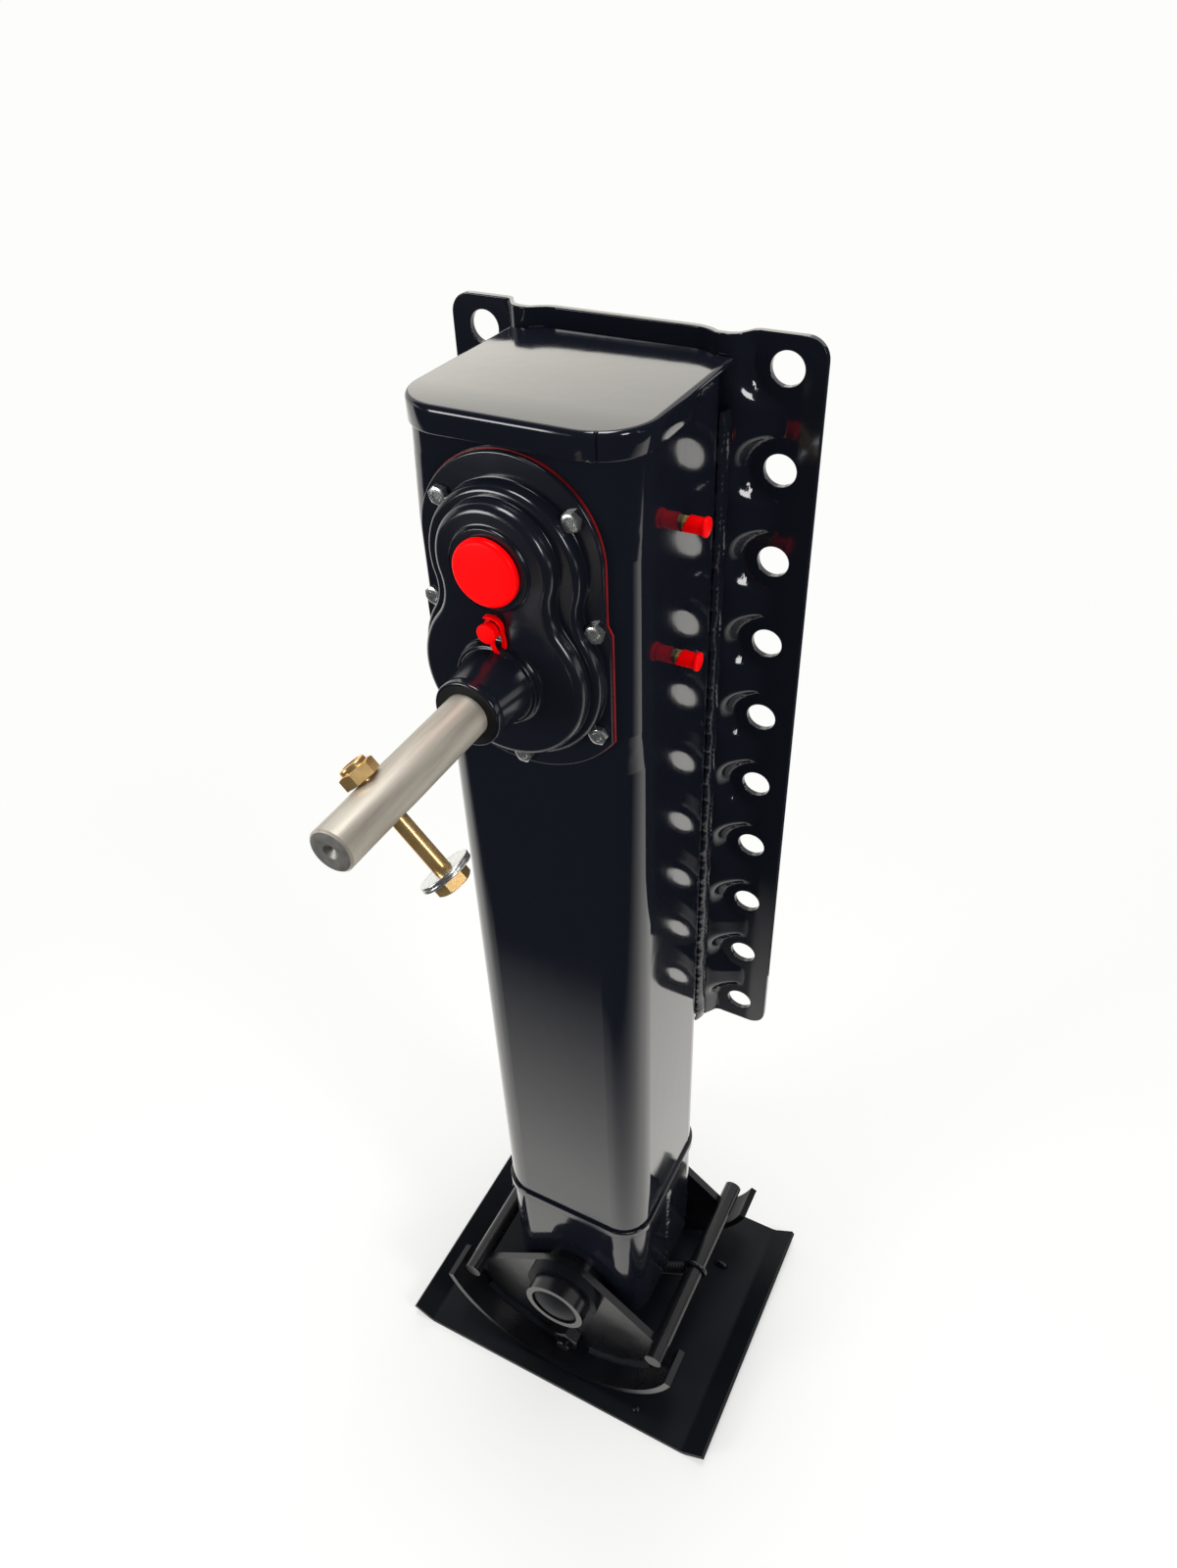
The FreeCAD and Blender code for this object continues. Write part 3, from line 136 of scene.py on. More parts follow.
# Gear cover, where lobes are an upper radius, a lower radius and a waist radius
CRANK_Z = 700.0
OUTPUT_Z = 758.75
STEP_LOBE_Z = 754.5
STEP_LOBES = (39.0, 47.5, 22.0)
FACE_LOBES = (30.0, 43.0, 25.0)
ROOM_LOBES = (26.75, 40.5, 25.0)
INNER_LOBES = (26.0, 39.0, 25.0)
FLANGE_HEAD = 47.0
FLANGE_SIDE = 49.5
FLANGE_CHIN = 60.0
KINK_LOW = CRANK_Z + 26.0
KINK_HIGH = CRANK_Z + 31.0
COVER_SEAT = -58.0
COVER_FLANGE = -60.5
COVER_STEP = -69.0
COVER_FACE = -77.5
COVER_INNER_FACE = -73.5
GEAR_ROOM = -66.75
BOSS_TIP = -107.5
BOSS_BORE = 14.5
CAP_SEAT = -79.0
CAP_BORE = 14.0
COVER_BOLT_FLATS = 8.4
COVER_BOLT_HEAD = 3.5
COVER_BOLT_RADIUS = 2.5
COVER_BOLT_LENGTH = 9.0

# Crank and its cross bolt
SHAFT_CUT = -104.0
SHAFT_RADIUS = 11.0
SHAFT_TIP_RADIUS = 10.7
SHAFT_TIP = -208.0
SHAFT_FACE_RADIUS = 9.8
CROSS_Y = -173.0
CROSS_ANGLE = -48.3
CROSS_GRIP = 42.0
CROSS_END = -19.4
CROSS_NUT_SEAT = 11.3
CROSS_FLATS = 15.0
CROSS_RADIUS = 4.0
WASHER_RADIUS = 12.8
WASHER_SHEET = 1.55
WASHER_PITCH = 1.6

# Foot
SEAM_LOW = 80.0
SEAM_HIGH = 188.0
AXLE_Z = 108.0
PLUG_RADIUS = 20.0
PLUG_RIM = 89.0
PLUG_RISE = 5.0
CHEEK_OUTER = 70.0
ROD_X = 83.0
ROD_Z = 83.0
ROD_RADIUS = 7.0
SPRING_ANCHOR = np.array([34.0, 0.0, 47.0])
WIRE_RADIUS = 1.6
COIL_RADIUS = 3.9
COIL_SPACING = 1.03
SOLE_CENTRE_Z = 113.0
SOLE_INNER_RADIUS = 103.0
SHOE_BOLT_Z = 27.0
SHOE_BOLT_FLATS = 21.0
SHOE_BOLT_RADIUS = 6.0
SHOE_BOLT_LENGTH = 155.0
SHOE_TOP = 4.0
SHOE_HALF = 138.0
SHOE_FLAT = 117.0
SHOE_DEPTH_HALF = 106.0
SHOE_BEND = 32.0
SHOE_BEND_RADIUS = 12.0


def linear(hex_colour):
    """sRGB hex to linear red, green, blue and alpha."""
    channels = [int(hex_colour[place:place + 2], 16) / 255 for place in (1, 3, 5)]
    return [c / 12.92 if c <= 0.04045 else ((c + 0.055) / 1.055) ** 2.4 for c in channels] + [1.0]


def add(tree, kind, values=None, **settings):
    """Adds a node with its settings, and fills or links its input sockets.

    A node that is given for a socket stands for its first output.
    """
    new = tree.nodes.new(kind)
    for name, value in settings.items():
        setattr(new, name, value)
    for socket, value in (values or {}).items():
        source = value.outputs[0] if isinstance(value, bpy.types.Node) else value
        if isinstance(source, bpy.types.NodeSocket):
            tree.links.new(source, new.inputs[socket])
        else:
            new.inputs[socket].default_value = source
    return new


def start_material(name):
    """Empty node material, with its tree and its Object coordinates in metres."""
    material = bpy.data.materials.new(name)
    material.use_nodes = True
    tree = material.node_tree
    tree.nodes.clear()
    return material, tree, add(tree, "ShaderNodeTexCoord").outputs["Object"]


def blotches(tree, place, size_mm, detail=2.0, stretch=(1, 1, 1)):
    """Pattern of soft blobs about size_mm across, drawn out along the axes by stretch."""
    scale = [1000 / size_mm / part for part in stretch]
    mapped = add(tree, "ShaderNodeMapping", {"Vector": place, "Scale": scale})
    return add(tree, "ShaderNodeTexNoise", {"Vector": mapped, "Scale": 1.0, "Detail": detail})


def graded(tree, factor, low, high, start=0.3, end=0.75):
    """Grades from low to high, two numbers or two hex colours, while the factor goes from start to end.

    In a mix of colours, inputs 6 and 7 are the two colours, and output 2 is what they give.
    """
    span = {"Value": factor, "From Min": start, "From Max": end}
    if not isinstance(low, str):
        return add(tree, "ShaderNodeMapRange", {**span, "To Min": low, "To Max": high})
    share = add(tree, "ShaderNodeMapRange", span)
    mixed = add(tree, "ShaderNodeMix", {0: share, 6: linear(low), 7: linear(high)}, data_type="RGBA")
    return mixed.outputs[2]


def black_enamel(name, rough_low, rough_high):
    """Stove enamel on steel: deep black, a faint orange peel from spraying, and a haze of uneven gloss."""
    material, tree, place = start_material(name)
    peel = blotches(tree, place, 9.0, 1.0, (1, 1, 2.5))
    shader = add(tree, "ShaderNodeBsdfPrincipled", {
        "Base Color": linear("#13151d"), "IOR": 1.52,
        "Roughness": graded(tree, blotches(tree, place, 60.0, 3.0), rough_low, rough_high, 0.35),
        "Normal": add(tree, "ShaderNodeBump", {"Strength": 0.06, "Distance": 0.6 * MM, "Height": peel})})
    add(tree, "ShaderNodeOutputMaterial", {"Surface": shader})
    return material


def satin_black_paint():
    """Dipped black paint on the foot: softer gloss, with runs and a rougher skin."""
    material, tree, place = start_material("satin_black_paint")
    skin = blotches(tree, place, 4.0, 3.0)
    shader = add(tree, "ShaderNodeBsdfPrincipled", {
        "Base Color": graded(tree, blotches(tree, place, 30.0, 4.0), "#0a0a0d", "#131419", 0.3, 0.8),
        "Roughness": graded(tree, blotches(tree, place, 45.0, 4.0), 0.2, 0.36),
        "IOR": 1.5, "Specular IOR Level": 0.4,
        "Normal": add(tree, "ShaderNodeBump", {"Strength": 0.1, "Distance": 0.4 * MM, "Height": skin})})
    add(tree, "ShaderNodeOutputMaterial", {"Surface": shader})
    return material


def matt_black_paint():
    """Thin dipped paint: dull and slightly blue, dusty, with a dry skin that spreads the light."""
    material, tree, place = start_material("matt_black_dip_paint")
    skin = blotches(tree, place, 2.5, 3.0)
    shader = add(tree, "ShaderNodeBsdfPrincipled", {
        "Base Color": graded(tree, blotches(tree, place, 70.0, 4.0), "#080a0e", "#10131b"),
        "Roughness": graded(tree, blotches(tree, place, 40.0, 4.0), 0.45, 0.62),
        "IOR": 1.45, "Specular IOR Level": 0.16,
        "Normal": add(tree, "ShaderNodeBump", {"Strength": 0.15, "Distance": 0.4 * MM, "Height": skin})})
    add(tree, "ShaderNodeOutputMaterial", {"Surface": shader})
    return material


def red_polyethylene():
    """Moulded polyethylene cap: saturated red, waxy, with a soft sheen."""
    material, tree, place = start_material("red_polyethylene")
    skin = blotches(tree, place, 1.5, 2.0)
    shader = add(tree, "ShaderNodeBsdfPrincipled", {
        "Base Color": graded(tree, blotches(tree, place, 12.0, 2.0), "#fa0206", "#ff0408"),
        "Roughness": 0.3, "IOR": 1.45, "Specular IOR Level": 0.06,
        "Normal": add(tree, "ShaderNodeBump", {"Strength": 0.06, "Distance": 0.2 * MM, "Height": skin})})
    add(tree, "ShaderNodeOutputMaterial", {"Surface": shader})
    return material


def red_sealant():
    """Cured gasket sealant: dull red with small lumps along the squeezed-out edge."""
    material, tree, place = start_material("red_gasket_sealant")
    lumps = blotches(tree, place, 2.0, 3.0)
    shader = add(tree, "ShaderNodeBsdfPrincipled", {
        "Base Color": graded(tree, blotches(tree, place, 25.0, 3.0), "#5c0a0e", "#a3161a"),
        "Roughness": 0.4, "IOR": 1.43,
        "Normal": add(tree, "ShaderNodeBump", {"Strength": 0.3, "Distance": 0.5 * MM, "Height": lumps})})
    add(tree, "ShaderNodeOutputMaterial", {"Surface": shader})
    return material


def plated_steel(name, dark, bright, rough_low, rough_high, grain_mm, metallic, lumps):
    """Zinc-plated steel: a cloudy metal skin, dulled by its passivation, whose crystals scatter the light."""
    material, tree, place = start_material(name)
    cloud = blotches(tree, place, grain_mm, 4.0)
    shader = add(tree, "ShaderNodeBsdfPrincipled", {
        "Base Color": graded(tree, cloud, dark, bright, 0.3, 0.7), "Metallic": metallic,
        "Roughness": graded(tree, blotches(tree, place, grain_mm * 0.6, 3.0), rough_low, rough_high),
        "Normal": add(tree, "ShaderNodeBump", {"Strength": lumps, "Distance": 0.2 * MM, "Height": cloud})})
    add(tree, "ShaderNodeOutputMaterial", {"Surface": shader})
    return material


def drawn_steel():
    """Cold-drawn bar: draw lines along its length and a satin, slightly warm grey shine."""
    material, tree, place = start_material("cold_drawn_steel")
    lines = blotches(tree, place, 1.2, 2.0, (1, 60, 1))
    streaks = blotches(tree, place, 7.0, 3.0, (1, 12, 1))
    shader = add(tree, "ShaderNodeBsdfPrincipled", {
        "Base Color": graded(tree, streaks, "#948d81", "#bfb8ab", 0.3, 0.7),
        "Metallic": 0.5, "Roughness": graded(tree, lines, 0.42, 0.54),
        "Normal": add(tree, "ShaderNodeBump", {"Strength": 0.04, "Distance": 0.2 * MM, "Height": lines})})
    add(tree, "ShaderNodeOutputMaterial", {"Surface": shader})
    return material


def faced_steel():
    """Lathe-faced bar end: turning rings about the crank's axis that spread the light into an even grey.

    The rings are drawn coarser than a lathe leaves them, so that they show.
    """
    ring_pitch_mm = 0.7
    material, tree, place = start_material("lathe_faced_steel")
    centred = add(tree, "ShaderNodeMapping", {"Vector": place, "Location": [0.0, 0.0, -CRANK_Z * MM]})
    flat = add(tree, "ShaderNodeVectorMath", {0: centred, 1: [1.0, 0.0, 1.0]}, operation="MULTIPLY")
    away = add(tree, "ShaderNodeVectorMath", {0: flat}, operation="LENGTH").outputs["Value"]
    pace = 2 * math.pi / (ring_pitch_mm * MM)
    rings = add(tree, "ShaderNodeMath", {0: away, 1: pace}, operation="MULTIPLY")
    wave = add(tree, "ShaderNodeMath", {0: rings}, operation="SINE")
    shader = add(tree, "ShaderNodeBsdfPrincipled", {
        "Base Color": graded(tree, blotches(tree, place, 3.0, 3.0), "#97958f", "#b3b1ab"),
        "Metallic": 1.0, "Roughness": 0.55,
        "Normal": add(tree, "ShaderNodeBump", {"Strength": 0.1, "Distance": 0.2 * MM, "Height": wave})})
    add(tree, "ShaderNodeOutputMaterial", {"Surface": shader})
    return material


def plain_metal(name, colour, roughness):
    """Inner machined metal, seen only when the leg is taken apart: its colour mixed with a greyer grain."""
    material, tree, place = start_material(name)
    shader = add(tree, "ShaderNodeBsdfPrincipled", {
        "Base Color": graded(tree, blotches(tree, place, 3.0, 3.0), colour, "#6d6a66", 0.0, 1.0),
        "Metallic": 1.0, "Roughness": roughness})
    add(tree, "ShaderNodeOutputMaterial", {"Surface": shader})
    return material


def seal_rubber():
    """Nitrile shaft seal: matt black, slightly grained."""
    material, tree, place = start_material("nitrile_rubber")
    grain = blotches(tree, place, 0.8, 2.0)
    shader = add(tree, "ShaderNodeBsdfPrincipled", {
        "Base Color": graded(tree, grain, "#0a0a0b", "#131314", 0.3, 0.8),
        "Roughness": 0.5, "Specular IOR Level": 0.3,
        "Normal": add(tree, "ShaderNodeBump", {"Strength": 0.2, "Distance": 0.2 * MM, "Height": grain})})
    add(tree, "ShaderNodeOutputMaterial", {"Surface": shader})
    return material


def black_wire():
    """Oil-blackened spring wire: dark, with a thin satin line along each turn."""
    material, tree, place = start_material("black_spring_wire")
    shader = add(tree, "ShaderNodeBsdfPrincipled", {
        "Base Color": graded(tree, blotches(tree, place, 6.0, 3.0), "#0b0b0c", "#17171a"),
        "Roughness": 0.32, "IOR": 1.5})
    add(tree, "ShaderNodeOutputMaterial", {"Surface": shader})
    return material


FACED_STEEL = faced_steel()
MATT_BLACK = matt_black_paint()
CAST_BLACK = black_enamel("black_enamel_on_casting", rough_low=0.15, rough_high=0.22)
DULL_NODES = ("rear_sole", "axle_collars")
FINISHES = {
    "gloss_black_paint": black_enamel("gloss_black_enamel", rough_low=0.06, rough_high=0.13),
    "satin_black_paint": satin_black_paint(),
    "red_plastic": red_polyethylene(),
    "red_gasket": red_sealant(),
    "zinc_steel": plated_steel(
        "bright_zinc_plate", "#b6b8b6", "#e0e1df",
        rough_low=0.2, rough_high=0.32, grain_mm=1.5, metallic=0.93, lumps=0.05),
    "yellow_zinc": plated_steel(
        "yellow_passivated_zinc", "#cfa566", "#e4c184",
        rough_low=0.22, rough_high=0.27, grain_mm=9.0, metallic=0.82, lumps=0.0),
    "machined_steel": drawn_steel(),
    "gear_steel": plain_metal("cut_gear_steel", "#8a8a8c", 0.35),
    "bronze": plain_metal("bearing_bronze", "#b98a4a", 0.35),
    "seal_rubber": seal_rubber(),
    "spring_steel": black_wire(),
    "bare_steel": plain_metal("rolled_steel", "#777776", 0.45),
}

# Every carried-over node takes the finish of its record slot, and the dull ones take the shoe's paint
for subpart in frame["record"]["subparts"]:
    mesh = frame["nodes"][subpart["node"]].data
    mesh.materials.clear()
    dull = subpart["node"] in DULL_NODES
    mesh.materials.append(MATT_BLACK if dull else FINISHES[subpart["material_slot"]])


def joined(*coordinates):
    """Points from their coordinates, where a single number stands for every point."""
    return np.stack(np.broadcast_arrays(*coordinates), axis=-1)


def unit(vectors):
    """Vectors brought to a length of one."""
    return vectors / np.linalg.norm(vectors, axis=-1, keepdims=True)


def full_turn(count):
    """Equal angles once round."""
    return np.linspace(0, 2 * math.pi, count, endpoint=False)


def arc(x, y, radius, angle):
    """Points of a plane circle about (x, y) at the given angles."""
    return joined(x + radius * np.cos(angle), y + radius * np.sin(angle))


def at_depth(outline, depth):
    """(x, z) outline put at a depth y."""
    return joined(outline[:, 0], depth, outline[:, 1])


def circle_at(radius, z, depth):
    """Circle about a gear axis at a depth, its points in the same places as a turned surface's."""
    return at_depth(arc(0, z, radius, -full_turn(72)), depth)


def grid_faces(rows, columns, wrap_rows=False, wrap_columns=False):
    """Quads of a grid of points that are counted row by row, closed round where a direction wraps."""
    row, column = np.meshgrid(np.arange(rows if wrap_rows else rows - 1),
                              np.arange(columns if wrap_columns else columns - 1), indexing="ij")
    next_row = (row + 1) % rows
    next_column = (column + 1) % columns
    corners = [row * columns + column, row * columns + next_column,
               next_row * columns + next_column, next_row * columns + column]
    return np.stack(corners, axis=-1).reshape(-1, 4)


def rounded_path(corners, steps=6):
    """Path through (a, b, radius) corners in a plane, with a tangent arc at each corner that has a radius."""
    places = np.array([corner[:2] for corner in corners], float)
    share = np.linspace(0, 1, steps + 1)[:, None]
    path = [places[:1]]
    for before, corner, after, (_, _, radius) in zip(places, places[1:], places[2:], corners[1:-1]):
        if radius == 0:
            path.append(corner[None])
            continue
        to_before = unit(before - corner)
        to_after = unit(after - corner)
        opening = math.acos(np.clip(to_before @ to_after, -1, 1))
        reach = radius / math.tan(opening / 2)
        centre = corner + unit(to_before + to_after) * radius / math.sin(opening / 2)
        sweep = math.pi - opening
        start = corner + to_before * reach - centre
        end = corner + to_after * reach - centre
        spokes = np.sin((1 - share) * sweep) * start + np.sin(share * sweep) * end
        path.append(centre + spokes / math.sin(sweep))
    path.append(places[-1:])
    return np.concatenate(path)


def loft(outlines):
    """Skin through outlines that have the same count of points."""
    return np.concatenate(outlines), grid_faces(len(outlines), len(outlines[0]), False, True)


def turned(profile, base, axis, across, segments=72, closed=False):
    """Surface turned about an axis: each (radius, along) pair of the profile goes round in equal steps."""
    angle = full_turn(segments)[:, None]
    ring = np.cos(angle) * across + np.sin(angle) * np.cross(axis, across)
    profile = np.asarray(profile, float)
    points = np.asarray(base, float) + profile[:, 1, None, None] * axis + profile[:, 0, None, None] * ring
    return points.reshape(-1, 3), grid_faces(len(profile), segments, closed, True)


def swept(path, across, up, section):
    """Section of (across, up) pairs carried along a path, each end closed by a fan to its section's middle.

    across and up give the two section directions at each point of the path, and section may differ per point.
    """
    section = np.broadcast_to(section, (len(path),) + np.shape(section)[-2:])
    points = path[:, None] + section[..., :1] * across[:, None] + section[..., 1:] * up[:, None]
    count = section.shape[1]
    middle = points.mean(axis=1, keepdims=True)
    first = np.repeat(middle[:1], count, axis=1)
    last = np.repeat(middle[-1:], count, axis=1)
    whole = np.concatenate([first, points, last])
    return whole.reshape(-1, 3), grid_faces(len(path) + 2, count, False, True)


def wire(path, radius, reference, sides=10):
    """Round wire along a path: a circle square to the path, turned by the direction of a reference vector."""
    along = unit(np.gradient(path, axis=0))
    across = unit(np.cross(along, reference))
    return swept(path, across, np.cross(across, along), arc(0, 0, radius, full_turn(sides)))


def flat_between(outline, holes):
    """Flat area inside an outline and outside its holes, cut into triangles."""
    loops = [outline] + holes
    triangles = tessellate_polygon([[Vector(point) for point in loop] for loop in loops])
    return np.concatenate(loops), np.array(triangles)


def hex_head(flats, height, base, out, across, dish=0.35, bore=0.0, collar=None):
    """Hexagonal head or nut: a prism whose top is cut by a 30 degree cone, with a shallow turned dish in it.

    Its side lies at half the flats over the cosine of the angle from the nearest flat.
    With a bore it is a nut, and collar adds a round (radius, height) end to it.
    """
    angle = full_turn(72)
    from_flat = (angle + math.pi / 6) % (math.pi / 3) - math.pi / 6
    side = flats / 2 / np.cos(from_flat)
    bevel_start = 0.47 * flats
    edge = height - (side - bevel_start) * math.tan(math.radians(30))
    rows = [(bore, 0.0), (side * 0.94, 0.0), (side, 0.04 * height), (side, edge), (bevel_start, height)]
    if collar:
        collar_radius, collar_height = collar
        end = height + collar_height
        collar_path = [(bevel_start, height, 0), (collar_radius, height, 0),
                       (collar_radius, end, 1.0), (bore, end, 0)]
        rows += list(rounded_path(collar_path)[1:])
    elif bore:
        rows += [(bore + 1.0, height), (bore, height - 0.8)]
    else:
        rows += [(0.62 * bevel_start, height), (0.5 * bevel_start, height - dish), (0.0, height - dish)]
    radius, along = (np.array([np.broadcast_to(row[part], angle.shape) for row in rows])[..., None]
                     for part in (0, 1))
    ring = np.cos(angle)[:, None] * across + np.sin(angle)[:, None] * np.cross(out, across)
    points = np.asarray(base, float) + radius * ring + along * out
    return points.reshape(-1, 3), grid_faces(len(rows), len(angle), bool(bore), True)


def mirrored(patches, axis):
    """The same patches on the other side of the leg's middle, with their faces turned outwards again."""
    flip = np.ones(3)
    flip[axis] = -1
    return [(points * flip, faces[:, ::-1]) for points, faces in patches]


def make_piece(name, patches, slot, body, replaced=(), sharp_degrees=35, sheet=0.0, finish=None):
    """Mesh from (points, faces) patches in millimetres, merged where they meet, riding on a body.

    An open skin becomes a pressed sheet by drawing it out along y by the sheet's thickness. The finish is the
    slot's unless another is given.
    """
    counts = np.cumsum([0] + [len(points) for points, faces in patches])
    points = np.concatenate([points for points, faces in patches]) * MM
    faces = [face for start, (_, quads) in zip(counts, patches) for face in (quads + start).tolist()]
    mesh = bpy.data.meshes.new(name)
    mesh.from_pydata(points, [], faces)
    shape = bmesh.new()
    shape.from_mesh(mesh)
    bmesh.ops.remove_doubles(shape, verts=shape.verts, dist=0.00001)
    bmesh.ops.dissolve_degenerate(shape, edges=shape.edges, dist=0.000001)
    if sheet:
        drawn = bmesh.ops.extrude_face_region(shape, geom=shape.faces[:], use_keep_orig=True)["geom"]
        back = [vert for vert in drawn if isinstance(vert, bmesh.types.BMVert)]
        bmesh.ops.translate(shape, verts=back, vec=(0, sheet * MM, 0))
    bmesh.ops.recalc_face_normals(shape, faces=shape.faces)
    shape.to_mesh(mesh)
    shape.free()
    mesh.shade_smooth()
    mesh.set_sharp_from_angle(angle=math.radians(sharp_degrees))
    mesh.materials.append(finish or FINISHES[slot])
    piece = bpy.data.objects.new(name, mesh)
    bpy.context.scene.collection.objects.link(piece)
    if body:
        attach(piece, body)
    if replaced:
        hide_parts(*replaced)
    return piece


def roll_edges(piece, width_mm):
    """Small round on a sheet's sharp edges, as punching and paint leave it."""
    edge = piece.modifiers.new("rolled_edge", "BEVEL")
    edge.width = width_mm * MM
    edge.segments = 2
    edge.limit_method = "ANGLE"
    edge.angle_limit = math.radians(50)
    edge.harden_normals = True


def soft_min(first, second, softness):
    """Lower of two heights, with the corner between them rounded over a height that is the softness."""
    room = np.clip(first + second, 0.001, softness)
    share = np.clip(0.5 + 0.5 * (second - first) / room, 0, 1)
    return np.maximum(second * (1 - share) + first * share - room * share * (1 - share), 0)


def ripple(places, sizes, seed):
    """Smooth random waviness along a line, from -1 to 1: sines of about the given wavelengths, seeded."""
    random = np.random.default_rng(seed)
    total = np.zeros_like(places, dtype=float)
    for size in sizes:
        pace = random.uniform(0.85, 1.15)
        total += np.sin(2 * math.pi * places / size * pace + random.uniform(0, 2 * math.pi))
    return total / len(sizes)


def plate_front(x, z):
    """Depth of the pressed plate's front: flat web, arc round the tube's corner, ridge, tongues and pockets.

    The ridge falls to the flange in an S curve. Round each hole, and straight on from the end holes, the
    height is also held under a flared wall that starts at the pocket's edge.
    """
    side = np.abs(x)
    row = np.clip(np.round((HOLE_TOP - z) / HOLE_PITCH), 0, HOLE_ROWS - 1)
    past_end = (z > HOLE_TOP) | (z < HOLE_TOP - (HOLE_ROWS - 1) * HOLE_PITCH)
    from_row = np.where(past_end, 0, z - (HOLE_TOP - row * HOLE_PITCH))
    fall = np.clip((side - RIDGE_END) / (TONGUE_END - RIDGE_END), 0, 1)
    tongue = RIDGE_RISE * (1 - fall * fall * (3 - 2 * fall))
    wall = np.maximum(np.hypot(side - HOLE_X, from_row) - POCKET_RADIUS, 0) / POCKET_FLARE
    pressed = FLANGE_PLANE - soft_min(tongue, wall, POCKET_SOFTNESS)
    past_bend = side - TUBE_BEND_X
    round_corner = TUBE_BACK - TUBE_CORNER + np.sqrt(np.maximum(TUBE_CORNER ** 2 - past_bend ** 2, 0))
    hugging = np.where(past_bend < 0, TUBE_BACK, round_corner)
    return np.where(side < TUBE_SIDE, np.maximum(hugging, FLANGE_PLANE - RIDGE_RISE), pressed)


def plate_tile(low, high, centre):
    """Area round one hole: rings that pass evenly from the hole's circle to the edge of a rectangle.

    A corner of the rectangle that is a corner of the plate is drawn in to the plate's round. The heights
    along the rectangle's sides come back with the area.
    """
    z_line = np.linspace(low, high, 19)
    x_line = np.linspace(TILE_INNER, PLATE_HALF, 17)
    edge = np.concatenate([joined(x_line[:-1], low), joined(PLATE_HALF, z_line[:-1]),
                           joined(x_line[:0:-1], high), joined(TILE_INNER, z_line[:0:-1])])
    for corner_z, sign in [(PLATE_LOW + PLATE_CORNER, -1), (PLATE_HIGH - PLATE_CORNER, 1)]:
        past = edge - [PLATE_HALF - PLATE_CORNER, corner_z]
        beyond = (past[:, 0] > 0) & (past[:, 1] * sign > 0)
        reach = np.linalg.norm(past, axis=1, keepdims=True)
        edge = np.where(beyond[:, None], edge - past + past / np.maximum(reach, 0.001) * PLATE_CORNER, edge)
    hole = np.array([HOLE_X, centre])
    rim = hole + unit(edge - hole) * HOLE_RADIUS
    share = np.linspace(0, 1, 15)[:, None, None]
    spot = rim * (1 - share) + edge * share
    points = joined(spot[..., 0], plate_front(spot[..., 0], spot[..., 1]), spot[..., 1])
    return (points.reshape(-1, 3), grid_faces(share.size, len(edge), False, True)), z_line


def make_mounting_plate():
    """Pressed sheet: tiles round the holes, bands along the ridges, and a web with the shaft's window."""
    right = []
    z_lines = []
    for row in range(HOLE_ROWS):
        centre = HOLE_TOP - row * HOLE_PITCH
        low = PLATE_LOW if row == HOLE_ROWS - 1 else centre - HOLE_PITCH / 2
        high = PLATE_HIGH if row == 0 else centre + HOLE_PITCH / 2
        tile, z_line = plate_tile(low, high, centre)
        right.append(tile)
        z_lines.append(z_line)
    z_line = np.unique(np.concatenate(z_lines).round(6))
    x_line = np.concatenate([np.linspace(TUBE_BEND_X, 50.0, 9), [53.0, 56.0, TILE_INNER]])
    x_grid, z_grid = np.meshgrid(x_line, z_line, indexing="ij")
    band = joined(x_grid, plate_front(x_grid, z_grid), z_grid)
    right.append((band.reshape(-1, 3), grid_faces(len(x_line), len(z_line))))
    edge_line = joined(TUBE_BEND_X, TUBE_BACK, z_line)
    outline = np.concatenate([edge_line, (edge_line * [-1, 1, 1])[::-1]])
    window = at_depth(arc(0, OUTPUT_Z, WINDOW_RADIUS, full_turn(48)), TUBE_BACK)
    patches = right + mirrored(right, 0) + [flat_between(outline, [window])]
    plate = make_piece("pressed_mounting_plate", patches, "gloss_black_paint", "upper_leg",
                       ["mounting_plate"], sharp_degrees=50, sheet=PLATE_SHEET)
    roll_edges(plate, width_mm=0.7)


def weld_bead(path, across, up, width, height, seed):
    """Weld bead along a path: a low arch whose edges wander and whose crown carries the ripples of the pool.

    The arch fades towards both ends with the square root of the way to them.
    """
    places = np.concatenate([[0], np.cumsum(np.linalg.norm(np.diff(path, axis=0), axis=1))])
    waves = 0.1 * ripple(places, (3.1, 4.3), seed) + 0.3 * ripple(places, (19, 31, 47), seed + 1)
    left = width / 2 * (1 + 0.2 * ripple(places, (7, 13, 23), seed + 2))
    right = width / 2 * (1 + 0.2 * ripple(places, (8, 15, 27), seed + 3))
    fade = np.clip(np.minimum(places, places[-1] - places) / width, 0.15, 1) ** 0.5
    crown = height * (1 + waves) * fade
    turn = np.linspace(0, math.pi, 11)
    reach = np.where(np.cos(turn) > 0, right[:, None], left[:, None])
    top = joined(reach * np.cos(turn), crown[:, None] * np.sin(turn))
    bottom = joined(0.4 * (left + right)[:, None] * np.array([-1, 1]), -0.4 * height)
    return swept(path, across, up, np.concatenate([top, bottom], axis=1))


def make_plate_welds():
    """Beads in the corner between the tube's sides and the plate's ridges."""
    path = joined(WELD_X, WELD_Y, np.arange(PLATE_LOW + 1, WELD_HIGH, 1.2))
    slant = math.radians(WELD_SLANT)
    across = np.broadcast_to([math.cos(slant), math.sin(slant), 0.0], path.shape)
    up = np.broadcast_to([math.sin(slant), -math.cos(slant), 0.0], path.shape)
    beads = [weld_bead(path, across, up, width=9.0, height=1.6, seed=11)]
    make_piece("plate_weld_beads", beads + mirrored(beads, 0), "gloss_black_paint", "upper_leg",
               ["plate_welds"])


